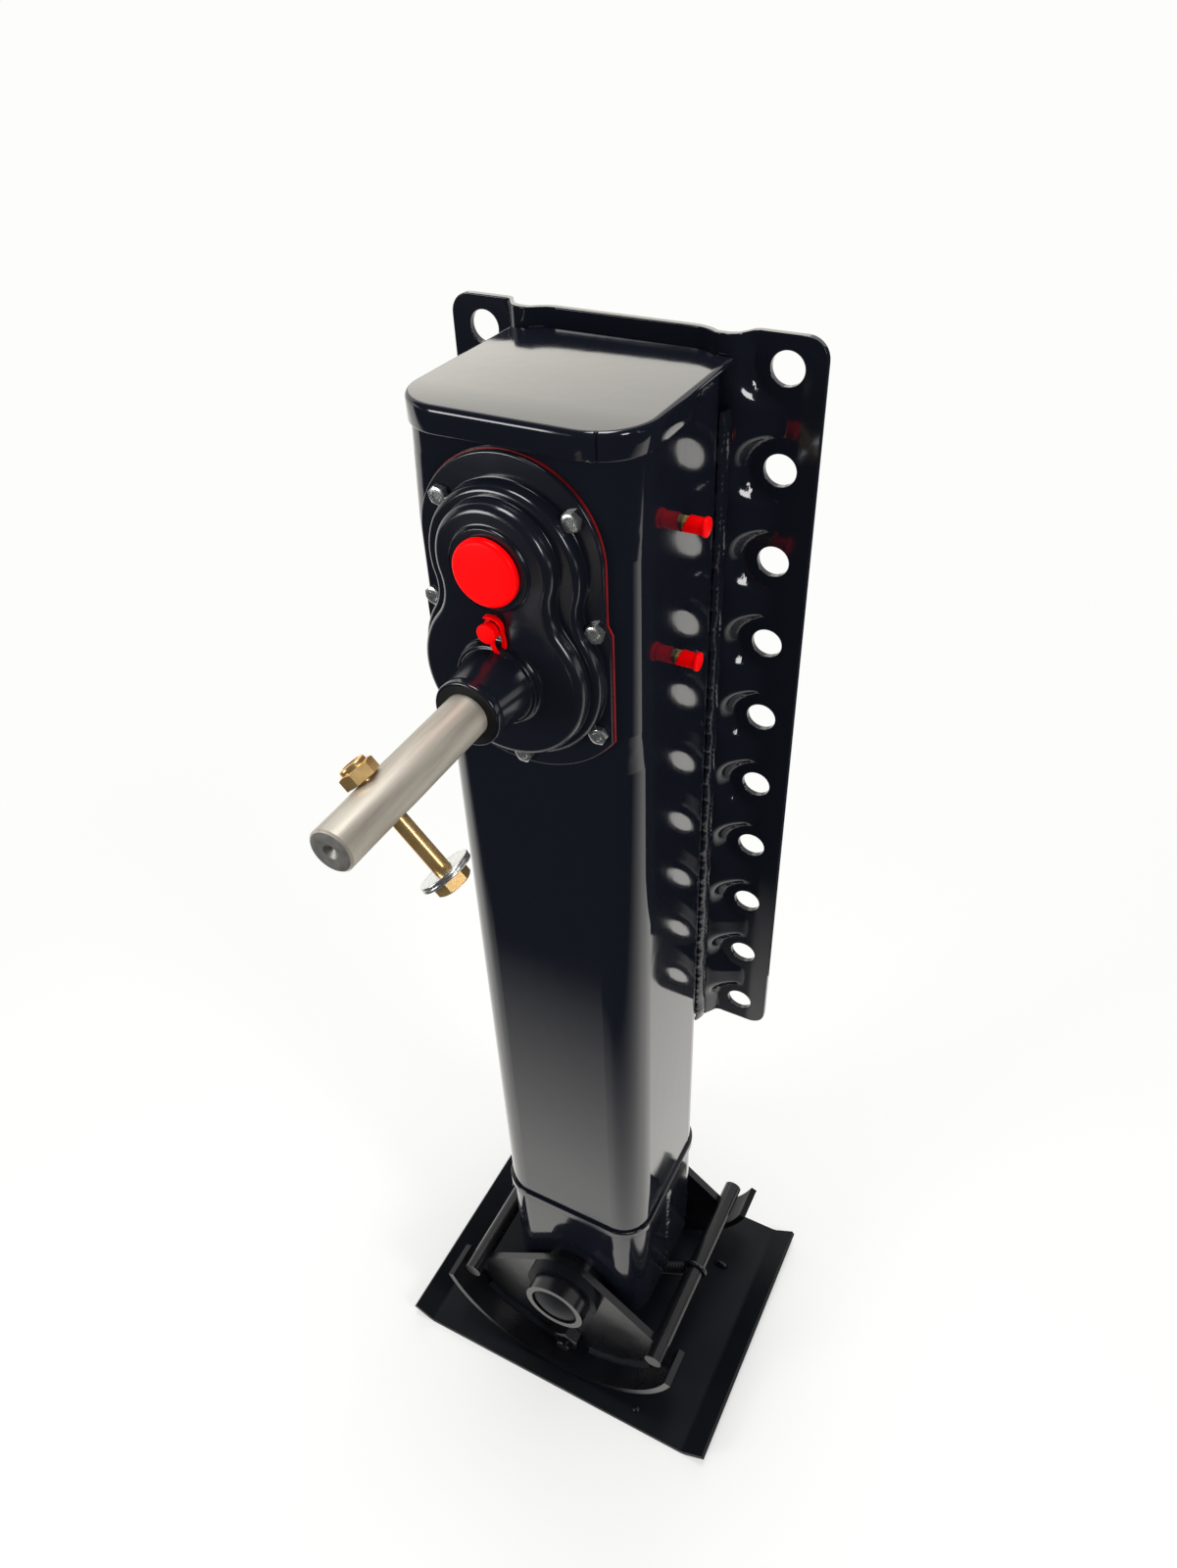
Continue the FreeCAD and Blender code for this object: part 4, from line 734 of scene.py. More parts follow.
def pear_outline(upper, lower, waist, upper_z):
    """Two lobes, one over the other, and a hollow arc that touches both on each side, as (x, z) points."""
    gap = upper_z - CRANK_Z
    reach_upper = upper + waist
    reach_lower = lower + waist
    rise = (gap * gap + reach_lower ** 2 - reach_upper ** 2) / (2 * gap)
    side = math.sqrt(reach_lower ** 2 - rise ** 2)
    upper_turn = math.atan2(rise - gap, side)
    lower_turn = math.atan2(rise, side)
    arcs = [
        (0, upper_z, upper, upper_turn, math.pi - upper_turn, 44),
        (-side, CRANK_Z + rise, waist, -upper_turn, -lower_turn, 14),
        (0, CRANK_Z, lower, math.pi - lower_turn, 2 * math.pi + lower_turn, 52),
        (side, CRANK_Z + rise, waist, math.pi + lower_turn, math.pi + upper_turn, 14),
    ]
    return np.concatenate([arc(x, z, radius, np.linspace(start, end, count, endpoint=False))
                           for x, z, radius, start, end, count in arcs])


def pear_skin(lobes, path, upper_z=OUTPUT_Z):
    """Pear outlines along a (growth, depth) path, where growth adds to the lobes and takes from the waist."""
    upper, lower, waist = lobes
    return [at_depth(pear_outline(upper + grow, lower + grow, waist - grow, upper_z), depth)
            for grow, depth in path]


def flange_outline(grow):
    """Round head, straight sides with a small kink, and a round chin, as (x, z) points."""
    head = FLANGE_HEAD + grow
    side = FLANGE_SIDE + grow
    chin = FLANGE_CHIN + grow
    turn = math.acos(side / chin)
    kink = np.array([(side, KINK_LOW), (head, KINK_HIGH)])
    return np.concatenate([
        arc(0, OUTPUT_Z, head, np.linspace(0, math.pi, 61)), kink[::-1] * [-1, 1],
        arc(0, CRANK_Z, chin, np.linspace(-math.pi + turn, -turn, 41)), kink])


def step_path(foot, top, foot_radius, edge_radius):
    """(growth, depth) path up the wall of a step, with a hollow foot and a round edge."""
    return rounded_path([(6, foot, 0), (0, foot, foot_radius), (0, top, edge_radius), (-6, top, 0)])[1:-1]


def make_gear_cover():
    """Cast cover: flange, two pear-shaped steps, boss, seat of the inspection cap, and gear room.

    Each step's skin runs through offsets of its pear outline, which follow a path with rounded corners.
    """
    flange_path = step_path(COVER_SEAT, COVER_FLANGE, 0, 0.9)
    flange = [at_depth(flange_outline(grow), depth) for grow, depth in flange_path]
    body = pear_skin(STEP_LOBES, step_path(COVER_FLANGE, COVER_STEP, 0.8, 2.8), STEP_LOBE_Z)
    body += pear_skin(FACE_LOBES, step_path(COVER_STEP, COVER_FACE, 0.6, 4.0))
    room = pear_skin(ROOM_LOBES, [(0, COVER_SEAT), (0, GEAR_ROOM)])
    room += pear_skin(INNER_LOBES, [(0, GEAR_ROOM), (0, COVER_INNER_FACE)])
    boss_path = rounded_path([
        (26, COVER_FACE, 0), (21.5, COVER_FACE, 2.0), (21.5, COVER_FACE - 4.5, 1.0),
        (19.5, COVER_FACE - 4.5, 0.9), (16.2, BOSS_TIP + 5.0, 0.5), (17.0, BOSS_TIP + 5.0, 0.5),
        (17.0, BOSS_TIP, 1.0), (15.5, BOSS_TIP, 0), (15.5, BOSS_TIP + 3.0, 0), (BOSS_BORE, BOSS_TIP + 3.0, 0),
        (BOSS_BORE, COVER_INNER_FACE, 0)], 5)[1:]
    seat_path = rounded_path([
        (25, COVER_FACE, 0), (20.0, COVER_FACE, 1.6), (20.0, CAP_SEAT, 0.6), (CAP_BORE, CAP_SEAT, 0),
        (CAP_BORE, COVER_INNER_FACE, 0)], 5)[1:]
    patches = [
        loft(flange), loft(body), turned(boss_path, CRANK_Z * Z, Y, X), turned(seat_path, OUTPUT_Z * Z, Y, X),
        loft(room), flat_between(flange[-1], [body[0]]),
        flat_between(body[-1], [circle_at(boss_path[0, 0], CRANK_Z, COVER_FACE),
                                circle_at(seat_path[0, 0], OUTPUT_Z, COVER_FACE)]),
        flat_between(room[-1], [circle_at(BOSS_BORE, CRANK_Z, COVER_INNER_FACE),
                                circle_at(CAP_BORE, OUTPUT_Z, COVER_INNER_FACE)]),
        flat_between(flange[0], [room[0]]),
    ]
    make_piece("cast_gear_cover", patches, "gloss_black_paint", "upper_leg", ["gearbox_cover"],
               sharp_degrees=40, finish=CAST_BLACK)


def make_cover_bolts():
    """Seven hexagon bolts on the flange, each turned its own way."""
    pairs = [(33.5, 81.0), (43.0, 28.0), (43.0, -29.0)]
    places = pairs + [(-x, rise) for x, rise in pairs] + [(0.0, -54.0)]
    turns = np.random.default_rng(5).uniform(0, math.pi / 3, len(places))
    radius = COVER_BOLT_RADIUS
    shank_path = [(0, 0), (radius, 0), (radius, COVER_BOLT_LENGTH), (0, COVER_BOLT_LENGTH)]
    patches = []
    for (x, rise), turn in zip(places, turns):
        base = np.array([x, COVER_FLANGE, CRANK_Z + rise])
        across = math.cos(turn) * X + math.sin(turn) * Z
        patches.append(hex_head(COVER_BOLT_FLATS, COVER_BOLT_HEAD, base, -Y, across))
        patches.append(turned(shank_path, base, Y, X, segments=24))
    make_piece("cover_bolt_set", patches, "zinc_steel", "upper_leg", ["cover_bolts"])


def make_inspection_cap():
    """Push-in cap: a slightly crowned disc with a round edge, turned about the output axis."""
    profile = rounded_path([
        (0, CAP_SEAT, 0), (15.6, CAP_SEAT, 0), (16.5, CAP_SEAT - 0.8, 0.5), (16.5, CAP_SEAT - 4.4, 2.2),
        (8.0, CAP_SEAT - 4.9, 12.0), (0, CAP_SEAT - 5.0, 0)], 8)
    make_piece("red_inspection_cap", [turned(profile, OUTPUT_Z * Z, Y, X)], "red_plastic", "upper_leg",
               ["inspection_cap"])


def nipple_cap(base, out, across, start, end, slant=0.0):
    """Push-on cap: a cup with a wider rim at its outer end, turned about the nipple's axis.

    Its open end is cut at a slant, further along on the side that across points to.
    """
    cup_radius = 4.3
    rim_start = end - 2.2
    profile = rounded_path([
        (2.8, end - 1.8, 0), (2.8, start, 0), (cup_radius, start, 0.5), (4.1, rim_start, 0.4),
        (4.9, end - 1.9, 0.5), (4.9, end, 0.6), (0, end - 0.1, 0)], 4)
    points, faces = turned(np.concatenate([[(0, end - 1.8)], profile]), base, out, across, 40)
    from_base = points - base
    share = np.clip((rim_start - from_base @ out) / (rim_start - start), 0, 1)
    share = share * (np.linalg.norm(from_base, axis=1) > 0.1)
    lean = (from_base @ across) / cup_radius * slant * share
    return points + lean[:, None] * out, faces


def strap_band(path, across, width, thickness):
    """Flat band along a path: a rounded oblong, the square root of a circle's sines, carried square to it."""
    along = unit(np.gradient(path, axis=0))
    side = np.broadcast_to(across, path.shape)
    circle = arc(0, 0, 1.0, full_turn(16))
    section = np.array([width / 2, thickness / 2]) * np.sign(circle) * np.abs(circle) ** 0.5
    return swept(path, side, np.cross(along, side), section)


def smooth_line(points, count):
    """Smooth curve through a few points: each stretch is the cubic that keeps its neighbours' mean slope."""
    points = np.asarray(points, float)
    slope = np.gradient(points, axis=0)
    place = np.linspace(0, len(points) - 1, count)
    start = np.minimum(place.astype(int), len(points) - 2)
    share = (place - start)[:, None]
    leave = (2 * share ** 3 - 3 * share ** 2 + 1) * points[start]
    leave += (share ** 3 - 2 * share ** 2 + share) * slope[start]
    arrive = (3 * share ** 2 - 2 * share ** 3) * points[start + 1]
    arrive += (share ** 3 - share ** 2) * slope[start + 1]
    return leave + arrive


def make_nipples():
    """Grease nipples with their caps, strap ring and straps, on the cover and on the tube's side."""
    nipples = []
    nipple_path = [(0, 3.0), (2.2, 3.0), (2.2, 9.0), (1.7, 10.7), (0, 10.7)]
    for y, rise in [(-3.7, -14.7), (1.5, 56.4)]:
        base = np.array([TUBE_SIDE, y, CRANK_Z + rise])
        cap = nipple_cap(base, X, Z, start=1.2, end=12.5, slant=1.5)
        name = "side_nipple_cap_%d" % abs(round(rise))
        make_piece(name, [cap], "red_plastic", "upper_leg", ["side_nipple_caps"])
        nipples.append(hex_head(7.0, 3.4, base, X, Y, dish=0.0))
        nipples.append(turned(nipple_path, base, X, Y, segments=32))
    make_piece("side_nipple_pair", nipples, "zinc_steel", "upper_leg", ["side_grease_nipples"],
               finish=FINISHES["yellow_zinc"])
    base = np.array([0.0, COVER_FACE, CRANK_Z + 30.0])
    cap = nipple_cap(base, -Y, Z, start=3.4, end=8.5)
    ring_path = rounded_path([(3.9, 0.4, 0), (5.0, 0.4, 0.4), (4.8, 2.0, 0.5), (3.9, 2.0, 0)], 3)
    ring = turned(ring_path, base, -Y, Z, segments=40, closed=True)
    tab_path = [(-2.6, -3.6, 6.3), (0.2, -3.4, 6.7), (3.4, -3.0, 5.4), (5.0, -2.4, 2.4), (4.8, -1.8, -1.0)]
    loop_path = [(2.0, -7.0, -2.8), (2.6, -6.4, -7.5), (3.2, -4.5, -11.0), (4.6, -2.6, -11.2),
                 (5.2, -1.6, -7.0), (4.2, -1.2, -1.5)]
    tab = strap_band(smooth_line(base + np.array(tab_path), 24), Y, width=3.0, thickness=1.3)
    loop = strap_band(smooth_line(base + np.array(loop_path), 40), X, width=2.4, thickness=1.2)
    make_piece("cover_nipple_cap_and_strap", [cap, ring, tab, loop], "red_plastic", "upper_leg",
               ["cover_nipple_cap"])


def make_cross_bolt():
    """Cross bolt of the crank: chamfered head, plain shank, two washers and a lock nut with a collar."""
    angle = math.radians(CROSS_ANGLE)
    out = math.cos(angle) * X + math.sin(angle) * Z
    across = np.cross(out, Y)
    centre = CROSS_Y * Y + CRANK_Z * Z
    head = hex_head(CROSS_FLATS, 6.0, centre + CROSS_GRIP * out, out, Y)
    shank_path = [(0, CROSS_END), (CROSS_RADIUS - 0.8, CROSS_END), (CROSS_RADIUS, CROSS_END + 1.0),
                  (CROSS_RADIUS, CROSS_GRIP), (0, CROSS_GRIP)]
    shank = turned(shank_path, centre, out, Y, segments=40)
    make_piece("crank_cross_bolt", [head, shank], "yellow_zinc", "crank", ["crank_bolt"])
    nut_seat = centre - CROSS_NUT_SEAT * out
    nut = hex_head(CROSS_FLATS, 6.5, nut_seat, -out, Y, bore=CROSS_RADIUS + 0.05, collar=(6.4, 2.2))
    make_piece("crank_lock_nut", [nut], "yellow_zinc", "crank", ["crank_nut"])
    washers = []
    for number in range(2):
        end = CROSS_GRIP - WASHER_PITCH * number
        start = end - WASHER_SHEET
        bore = CROSS_RADIUS + 0.1
        ring = rounded_path([
            (bore, end, 0), (WASHER_RADIUS, end, 0.5), (WASHER_RADIUS, start, 0.5), (bore, start, 0)], 3)
        middle = centre + 0.25 * number * across
        washers.append(turned(ring, middle, out, Y, segments=56, closed=True))
    make_piece("crank_washer_pair", washers, "zinc_steel", "crank", ["crank_washers"])


def make_crank_shaft():
    """Crank shaft: the solid's gear end as it is, and outside the boss a bar with a faced, chamfered end.

    The bar narrows evenly to the crank handle's seat, and its end has a countersunk lathe centre.
    """
    copy = bmesh.new()
    copy.from_mesh(frame["nodes"]["crank_shaft"].data)
    bmesh.ops.remove_doubles(copy, verts=copy.verts, dist=0.00001)
    sliced = bmesh.ops.bisect_plane(copy, geom=copy.verts[:] + copy.edges[:] + copy.faces[:],
                                    plane_co=(0, SHAFT_CUT * MM, 0), plane_no=(0, -1, 0), clear_outer=True)
    rim = [edge for edge in sliced["geom_cut"] if isinstance(edge, bmesh.types.BMEdge)]
    bmesh.ops.holes_fill(copy, edges=rim)
    bmesh.ops.triangulate(copy, faces=copy.faces)
    inner = (np.array([vert.co for vert in copy.verts]) / MM,
             np.array([[vert.index for vert in face.verts] for face in copy.faces]))
    copy.free()
    start = SHAFT_CUT - 0.05
    bar = rounded_path([
        (0, start, 0), (SHAFT_RADIUS, start, 0), (SHAFT_RADIUS, -160.0, 0), (SHAFT_TIP_RADIUS, -190.0, 0),
        (SHAFT_TIP_RADIUS, SHAFT_TIP + 0.9, 0.2), (SHAFT_FACE_RADIUS, SHAFT_TIP, 0.2), (3.6, SHAFT_TIP, 0.2),
        (1.0, SHAFT_TIP + 2.0, 0), (0, SHAFT_TIP + 2.2, 0)], 3)
    patches = [inner, turned(bar, CRANK_Z * Z, Y, X, segments=96)]
    shaft = make_piece("turned_crank_shaft", patches, "machined_steel", "crank", ["crank_shaft"],
                       sharp_degrees=30)
    shaft.data.materials.append(FACED_STEEL)
    middle = np.array([face.center for face in shaft.data.polygons]) / MM
    from_axis = np.hypot(middle[:, 0], middle[:, 2] - CRANK_Z)
    end_faces = (middle[:, 1] < SHAFT_TIP + 4.6) & (from_axis < SHAFT_FACE_RADIUS - 0.1)
    shaft.data.polygons.foreach_set("material_index", end_faces.astype(np.int32))


def cap_outline(inset):
    """Outline of the top cover at an inset, as (x, y) points.

    It has round front corners, the right one with the fold's seam as a narrow groove, and a back that follows
    the plate.
    """
    bend_x = CAP_SIDE - CAP_CORNER
    bend_y = CAP_FRONT + CAP_CORNER
    seam = math.radians(SEAM_ANGLE)
    seam_edges = seam + np.array([-0.022, -0.008, 0.008, 0.022])
    turn = np.sort(np.concatenate([np.linspace(0, math.pi / 2, 15), seam_edges]))
    groove = np.where(np.abs(turn - seam) < 0.01, 0.7, 0.0)
    side = joined(CAP_SIDE - inset, np.linspace(50.5 - inset, bend_y, 24)[:-1])
    back = np.array([(36.0, 56.8 - inset), (43.5, 55.2 - inset), (50.0, 51.6 - inset)])
    right, left = (np.concatenate([back, side, arc(bend_x, bend_y, CAP_CORNER - inset - depth, -turn)])
                   for depth in (groove, 0.0 * groove))
    return np.concatenate([right, (left * [-1, 1])[::-1]])


def make_top_cover():
    """Lid with a lip that turns down over the front and half of each side, and ends there in a round.

    The skin runs from the top's edge over a round, down the lip, round its lower edge and up inside. The
    lip's height along the outline follows a quarter circle at each end. The lid falls evenly to the plate.
    """
    places = cap_outline(0.0)
    share = np.clip((LIP_END_Y - places[:, 1]) / LIP_END_RUN, 0, 1)
    lip = LIP_HEIGHT * np.sqrt(1 - (1 - share) ** 2)
    level = np.full(len(places), CAP_TOP)
    edge = rounded_path([(-6.0, 0.0, 0), (0.0, 0.0, 2.5), (0.0, -5.0, 0)], 6)[1:-1]
    rows = [(offset, level + drop) for offset, drop in edge]
    rows += [(offset, level - CAP_EDGE - lip + rise)
             for offset, rise in [(0.0, 0.9), (-0.3, 0.25), (-0.9, 0.0), (-1.7, 0.0), (-2.1, 0.5)]]
    rows.append((-2.1, level - CAP_SHEET))
    loops = []
    for offset, height in rows:
        outline = cap_outline(-offset)
        loops.append(np.column_stack([outline, height - CAP_FALL * (outline[:, 1] - CAP_FRONT)]))
    patches = [loft(loops), flat_between(loops[0], []), flat_between(loops[-1], [])]
    make_piece("folded_top_cover", patches, "gloss_black_paint", "upper_leg", ["top_cover"],
               sharp_degrees=45)


def nub(x, y, radius_x, radius_y, height):
    """Low rounded lump on the shoe: its height goes with (1 - way to the edge squared) to the power 0.7."""
    turn, share = np.meshgrid(full_turn(24), np.linspace(1, 0, 7))
    rise = SHOE_TOP - 0.3 + (height + 0.3) * (1 - share ** 2) ** 0.7
    points = joined(x + radius_x * share * np.cos(turn), y + radius_y * share * np.sin(turn), rise)
    return points.reshape(-1, 3), grid_faces(*turn.shape, False, True)


def make_shoe_plate():
    """Shoe: a sheet with both ends bent up, its profile drawn out across the foot, and two small lumps."""
    bend = math.radians(SHOE_BEND)
    turn = np.linspace(0, bend, 9) - math.pi / 2
    outer = arc(SHOE_FLAT, SHOE_BEND_RADIUS, SHOE_BEND_RADIUS, turn)
    inner = arc(SHOE_FLAT, SHOE_BEND_RADIUS, SHOE_BEND_RADIUS - SHOE_TOP, turn)
    run = (SHOE_HALF - outer[-1, 0]) / math.cos(bend)
    tip = run * np.array([math.cos(bend), math.sin(bend)])
    low = np.concatenate([outer, [outer[-1] + tip]])
    high = np.concatenate([[inner[-1] + tip], inner[::-1]])
    profile = np.concatenate([low, high, (high * [-1, 1])[::-1], (low * [-1, 1])[::-1]])
    ends = [at_depth(profile, y) for y in (-SHOE_DEPTH_HALF, SHOE_DEPTH_HALF)]
    sheet = [loft(ends), flat_between(ends[0], []), flat_between(ends[1], [])]
    shoe = make_piece("bent_shoe_plate", sheet, "satin_black_paint", "shoe", ["base_plate"],
                      sharp_degrees=40, finish=MATT_BLACK)
    roll_edges(shoe, width_mm=0.9)
    lumps = [nub(72.5, -93.4, 3.6, 3.0, 1.8), nub(88.0, 52.5, 7.0, 3.4, 4.5)]
    make_piece("shoe_weld_lumps", lumps, "satin_black_paint", "shoe")


def make_springs():
    """Return springs: a wire ring round the cross rod, a close-wound coil, and a tail into the anchor bar."""
    rod = np.array([ROD_X, 0.0, ROD_Z])
    run = unit(SPRING_ANCHOR - rod)
    beside = np.cross(run, Y)
    ring_radius = ROD_RADIUS + 0.3 + WIRE_RADIUS
    turn = np.linspace(0, 2 * math.pi * 0.95, 48)[:, None]
    ring = wire(rod + ring_radius * (np.cos(turn) * run + np.sin(turn) * beside), WIRE_RADIUS, Y)
    coil_start = rod + ring_radius * run
    length = np.linalg.norm(SPRING_ANCHOR - coil_start)
    turns = round(length / (2 * WIRE_RADIUS * COIL_SPACING))
    place = np.linspace(0, 1, turns * 18)[:, None]
    spin = 2 * math.pi * turns * place
    helix = coil_start + run * length * place + COIL_RADIUS * (np.cos(spin) * Y + np.sin(spin) * beside)
    tail_path = smooth_line([SPRING_ANCHOR + COIL_RADIUS * Y - 2.0 * run, SPRING_ANCHOR + 2.0 * Y + 3.0 * run,
                             (29.0, 0.6, 44.5), (24.0, 0.0, 44.0)], 24)
    right = [ring, wire(helix, WIRE_RADIUS, run), wire(tail_path, WIRE_RADIUS, Z)]
    for name, side, patches in [("right", 1, right), ("left", -1, mirrored(right, 0))]:
        spring = make_piece("return_spring_" + name, patches, "spring_steel", None, ["return_springs"])
        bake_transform(spring)


def make_foot_welds():
    """Beads along the outer corners between cheeks and soles, on both sides of the shoe bolt."""
    stand_off = 1.6
    beads = []
    for number, (start_x, end_x, height) in enumerate([(-78.0, -15.0, 1.8), (18.0, 76.0, 1.0)]):
        turn = np.linspace(math.asin(start_x / SOLE_INNER_RADIUS), math.asin(end_x / SOLE_INNER_RADIUS), 64)
        inward = joined(-np.sin(turn), 0.0, np.cos(turn))
        path = SOLE_CENTRE_Z * Z - (SOLE_INNER_RADIUS - stand_off) * inward - (CHEEK_OUTER + stand_off) * Y
        across = (inward + Y) / math.sqrt(2)
        up = (inward - Y) / math.sqrt(2)
        beads.append(weld_bead(path, across, up, width=7.0, height=height, seed=31 + 7 * number))
    make_piece("foot_weld_beads", beads + mirrored(beads, 1), "satin_black_paint", "rocker", ["foot_welds"],
               finish=MATT_BLACK)


def make_socket_welds():
    """Seam beads down the middle of the socket's sides."""
    z = np.arange(SEAM_LOW, SEAM_HIGH, 1.0)
    path = joined(TUBE_SIDE, 0.6 * ripple(z, (40, 70), seed=51), z)
    across = np.broadcast_to(Y, path.shape)
    up = np.broadcast_to(X, path.shape)
    beads = [weld_bead(path, across, up, width=8.0, height=1.1, seed=53)]
    make_piece("socket_seam_beads", beads + mirrored(beads, 0), "gloss_black_paint", "lower_leg",
               ["socket_welds"])


def make_shoe_bolt():
    """Bolt through the shoe lugs: chamfered head at the back, nut and thread end at the front."""
    head_seat = CHEEK_OUTER * Y + SHOE_BOLT_Z * Z
    head = hex_head(SHOE_BOLT_FLATS, 7.5, head_seat, Y, X)
    end = -SHOE_BOLT_LENGTH
    radius = SHOE_BOLT_RADIUS
    shank_path = [(0, end), (radius - 1.0, end), (radius, end + 1.0), (radius, 0), (0, 0)]
    shank = turned(shank_path, head_seat, Y, X, segments=48)
    make_piece("shoe_pivot_bolt", [head, shank], "satin_black_paint", "rocker", ["shoe_bolt"])
    nut = hex_head(SHOE_BOLT_FLATS, 10.0, SHOE_BOLT_Z * Z - CHEEK_OUTER * Y, -Y, X, bore=radius + 0.05)
    make_piece("shoe_pivot_nut", [nut], "satin_black_paint", "rocker", ["shoe_nut"])


def make_axle_plugs():
    """Domed plugs in the axle tube's ends: a turned dome that falls with the square of its radius."""
    edge = PLUG_RADIUS - 1.0
    back = PLUG_RIM - 5.0
    rim = rounded_path([
        (0, back, 0), (PLUG_RADIUS, back, 0), (PLUG_RADIUS, PLUG_RIM, 0.5), (edge, PLUG_RIM, 0)], 4)
    crown = np.linspace(edge, 0, 18)
    dome = joined(crown, PLUG_RIM + PLUG_RISE * (1 - (crown / edge) ** 2))
    plugs = [turned(np.concatenate([rim[:-1], dome]), AXLE_Z * Z, -Y, X, segments=56)]
    make_piece("axle_dome_plugs", plugs + mirrored(plugs, 1), "satin_black_paint", "lower_leg",
               ["axle_plugs"], finish=MATT_BLACK)


make_mounting_plate()
make_plate_welds()
make_gear_cover()
make_cover_bolts()
make_inspection_cap()
make_nipples()
make_top_cover()
make_crank_shaft()
make_cross_bolt()
make_springs()
make_foot_welds()
make_socket_welds()
make_shoe_bolt()
make_axle_plugs()
make_shoe_plate()


def make_camera():
    """Camera at the photograph's viewpoint."""
    azimuth = math.radians(CAMERA_AZIMUTH)
    elevation = math.radians(CAMERA_ELEVATION)
    roll = math.radians(CAMERA_ROLL)
    level = math.cos(elevation)
    back = Vector((math.sin(azimuth) * level, -math.cos(azimuth) * level, math.sin(elevation)))
    right = Vector((math.cos(azimuth), math.sin(azimuth), 0.0))
    up = back.cross(right)
    rolled_right = right * math.cos(roll) + up * math.sin(roll)
    rolled_up = up * math.cos(roll) - right * math.sin(roll)
    data = bpy.data.cameras.new("camera")
    data.sensor_fit = "VERTICAL"
    data.sensor_height = SENSOR_LONG_SIDE
    data.lens = CAMERA_LENS
    data.clip_start = 0.01
    camera = bpy.data.objects.new("camera", data)
    bpy.context.scene.collection.objects.link(camera)
    turn = Matrix((rolled_right, rolled_up, back)).transposed().to_4x4()
    camera.matrix_world = Matrix.Translation(Vector(CAMERA_MM) * MM) @ turn
    bpy.context.scene.camera = camera


def make_world():
    """White room: plain white to camera, glossy and transmission rays, and softer where it lights the leg."""
    world = bpy.data.worlds.new("white_room")
    world.use_nodes = True
    tree = world.node_tree
    tree.nodes.clear()
    path = add(tree, "ShaderNodeLightPath").outputs
    seen = path["Is Camera Ray"]
    for kind in ("Is Glossy Ray", "Is Transmission Ray"):
        seen = add(tree, "ShaderNodeMath", {0: seen, 1: path[kind]}, operation="MAXIMUM")
    light = add(tree, "ShaderNodeBackground", {"Color": linear("#f4f6fa"), "Strength": 0.55})
    white = add(tree, "ShaderNodeBackground", {"Color": linear("#fdfdfb"), "Strength": 1.0})
    mixed = add(tree, "ShaderNodeMixShader", {0: seen, 1: light, 2: white})
    add(tree, "ShaderNodeOutputWorld", {"Surface": mixed})
    bpy.context.scene.world = world


def stage_sheet(name, rows, material):
    """Sheet for the stage only, through rows of places in millimetres."""
    rows = np.array(rows, float)
    mesh = bpy.data.meshes.new(name)
    mesh.from_pydata(rows.reshape(-1, 3) * MM, [], grid_faces(*rows.shape[:2]).tolist())
    mesh.materials.append(material)
    sheet = bpy.data.objects.new(name, mesh)
    bpy.context.scene.collection.objects.link(sheet)
    return sheet


def only_mirrored(sheet):
    """Leaves a stage sheet to be seen in the leg's gloss alone."""
    sheet.visible_camera = False
    sheet.visible_diffuse = False
    sheet.visible_shadow = False
    sheet.visible_transmission = False


def make_floor():
    """White floor that keeps the leg's soft shadow and runs into the white background away from it.

    It goes down with the lower leg, so the foot stands on it at every length of the leg.
    """
    material, tree, place = start_material("white_floor")
    paint = add(tree, "ShaderNodeBsdfDiffuse", {"Color": linear("#f6f5f2")})
    glow = add(tree, "ShaderNodeEmission", {"Color": linear("#fdfdfb"), "Strength": 1.0})
    mirror_glow = add(tree, "ShaderNodeEmission", {"Color": linear("#fffdf8"), "Strength": FLOOR_IN_MIRROR})
    away = add(tree, "ShaderNodeVectorMath", {0: place}, operation="LENGTH").outputs["Value"]
    share = graded(tree, away, FLOOR_GLOW, 1.0, FLOOR_FADE_START * MM, FLOOR_FADE_END * MM)
    lit = add(tree, "ShaderNodeMixShader", {0: share, 1: paint, 2: glow})
    glossy = add(tree, "ShaderNodeLightPath").outputs["Is Glossy Ray"]
    mixed = add(tree, "ShaderNodeMixShader", {0: glossy, 1: lit, 2: mirror_glow})
    add(tree, "ShaderNodeOutputMaterial", {"Surface": mixed})
    half = FLOOR_HALF
    floor = stage_sheet("floor", [[(x, y, 0) for x in (-half, half)] for y in (-half, half)], material)
    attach(floor, "lower_leg")


def make_dark_flag():
    """Dark sheet on the floor ahead of the leg, seen only as the dark part of its mirror image: a painted
    dark reflection.

    Its soft edge runs along y, and slants back on the right so that only a narrow strip of light shows there.
    """
    material, tree, place = start_material("painted_dark_floor_reflection")
    apart = add(tree, "ShaderNodeSeparateXYZ", {"Vector": place}).outputs
    right = add(tree, "ShaderNodeMath", {0: apart["X"], 1: 0.0}, operation="MAXIMUM")
    start, full = (add(tree, "ShaderNodeMath", {0: right, 1: slant, 2: y * MM}, operation="MULTIPLY_ADD")
                   for slant, y in [(FLAG_START_SLANT, FLAG_START_Y), (FLAG_FULL_SLANT, FLAG_FULL_Y)])
    cover = add(tree, "ShaderNodeMapRange", {"Value": apart["Y"], "From Min": start, "From Max": full})
    clear = add(tree, "ShaderNodeBsdfTransparent")
    # Painted dark reflection: a faintly glowing dark sheet that only the leg's gloss shows, as shade ahead of
    # the leg
    painted_dark_reflection = add(tree, "ShaderNodeEmission", {"Color": linear("#1a1c20"), "Strength": 1.0})
    mixed = add(tree, "ShaderNodeMixShader", {0: cover, 1: clear, 2: painted_dark_reflection})
    add(tree, "ShaderNodeOutputMaterial", {"Surface": mixed})
    rows = [[(-FLAG_HALF_WIDTH, y, FLAG_Z), (FLAG_HALF_WIDTH, y, FLAG_Z)] for y in (FLAG_FAR_Y, FLAG_NEAR_Y)]
    flag = stage_sheet("dark_flag", rows, material)
    only_mirrored(flag)
    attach(flag, "lower_leg")


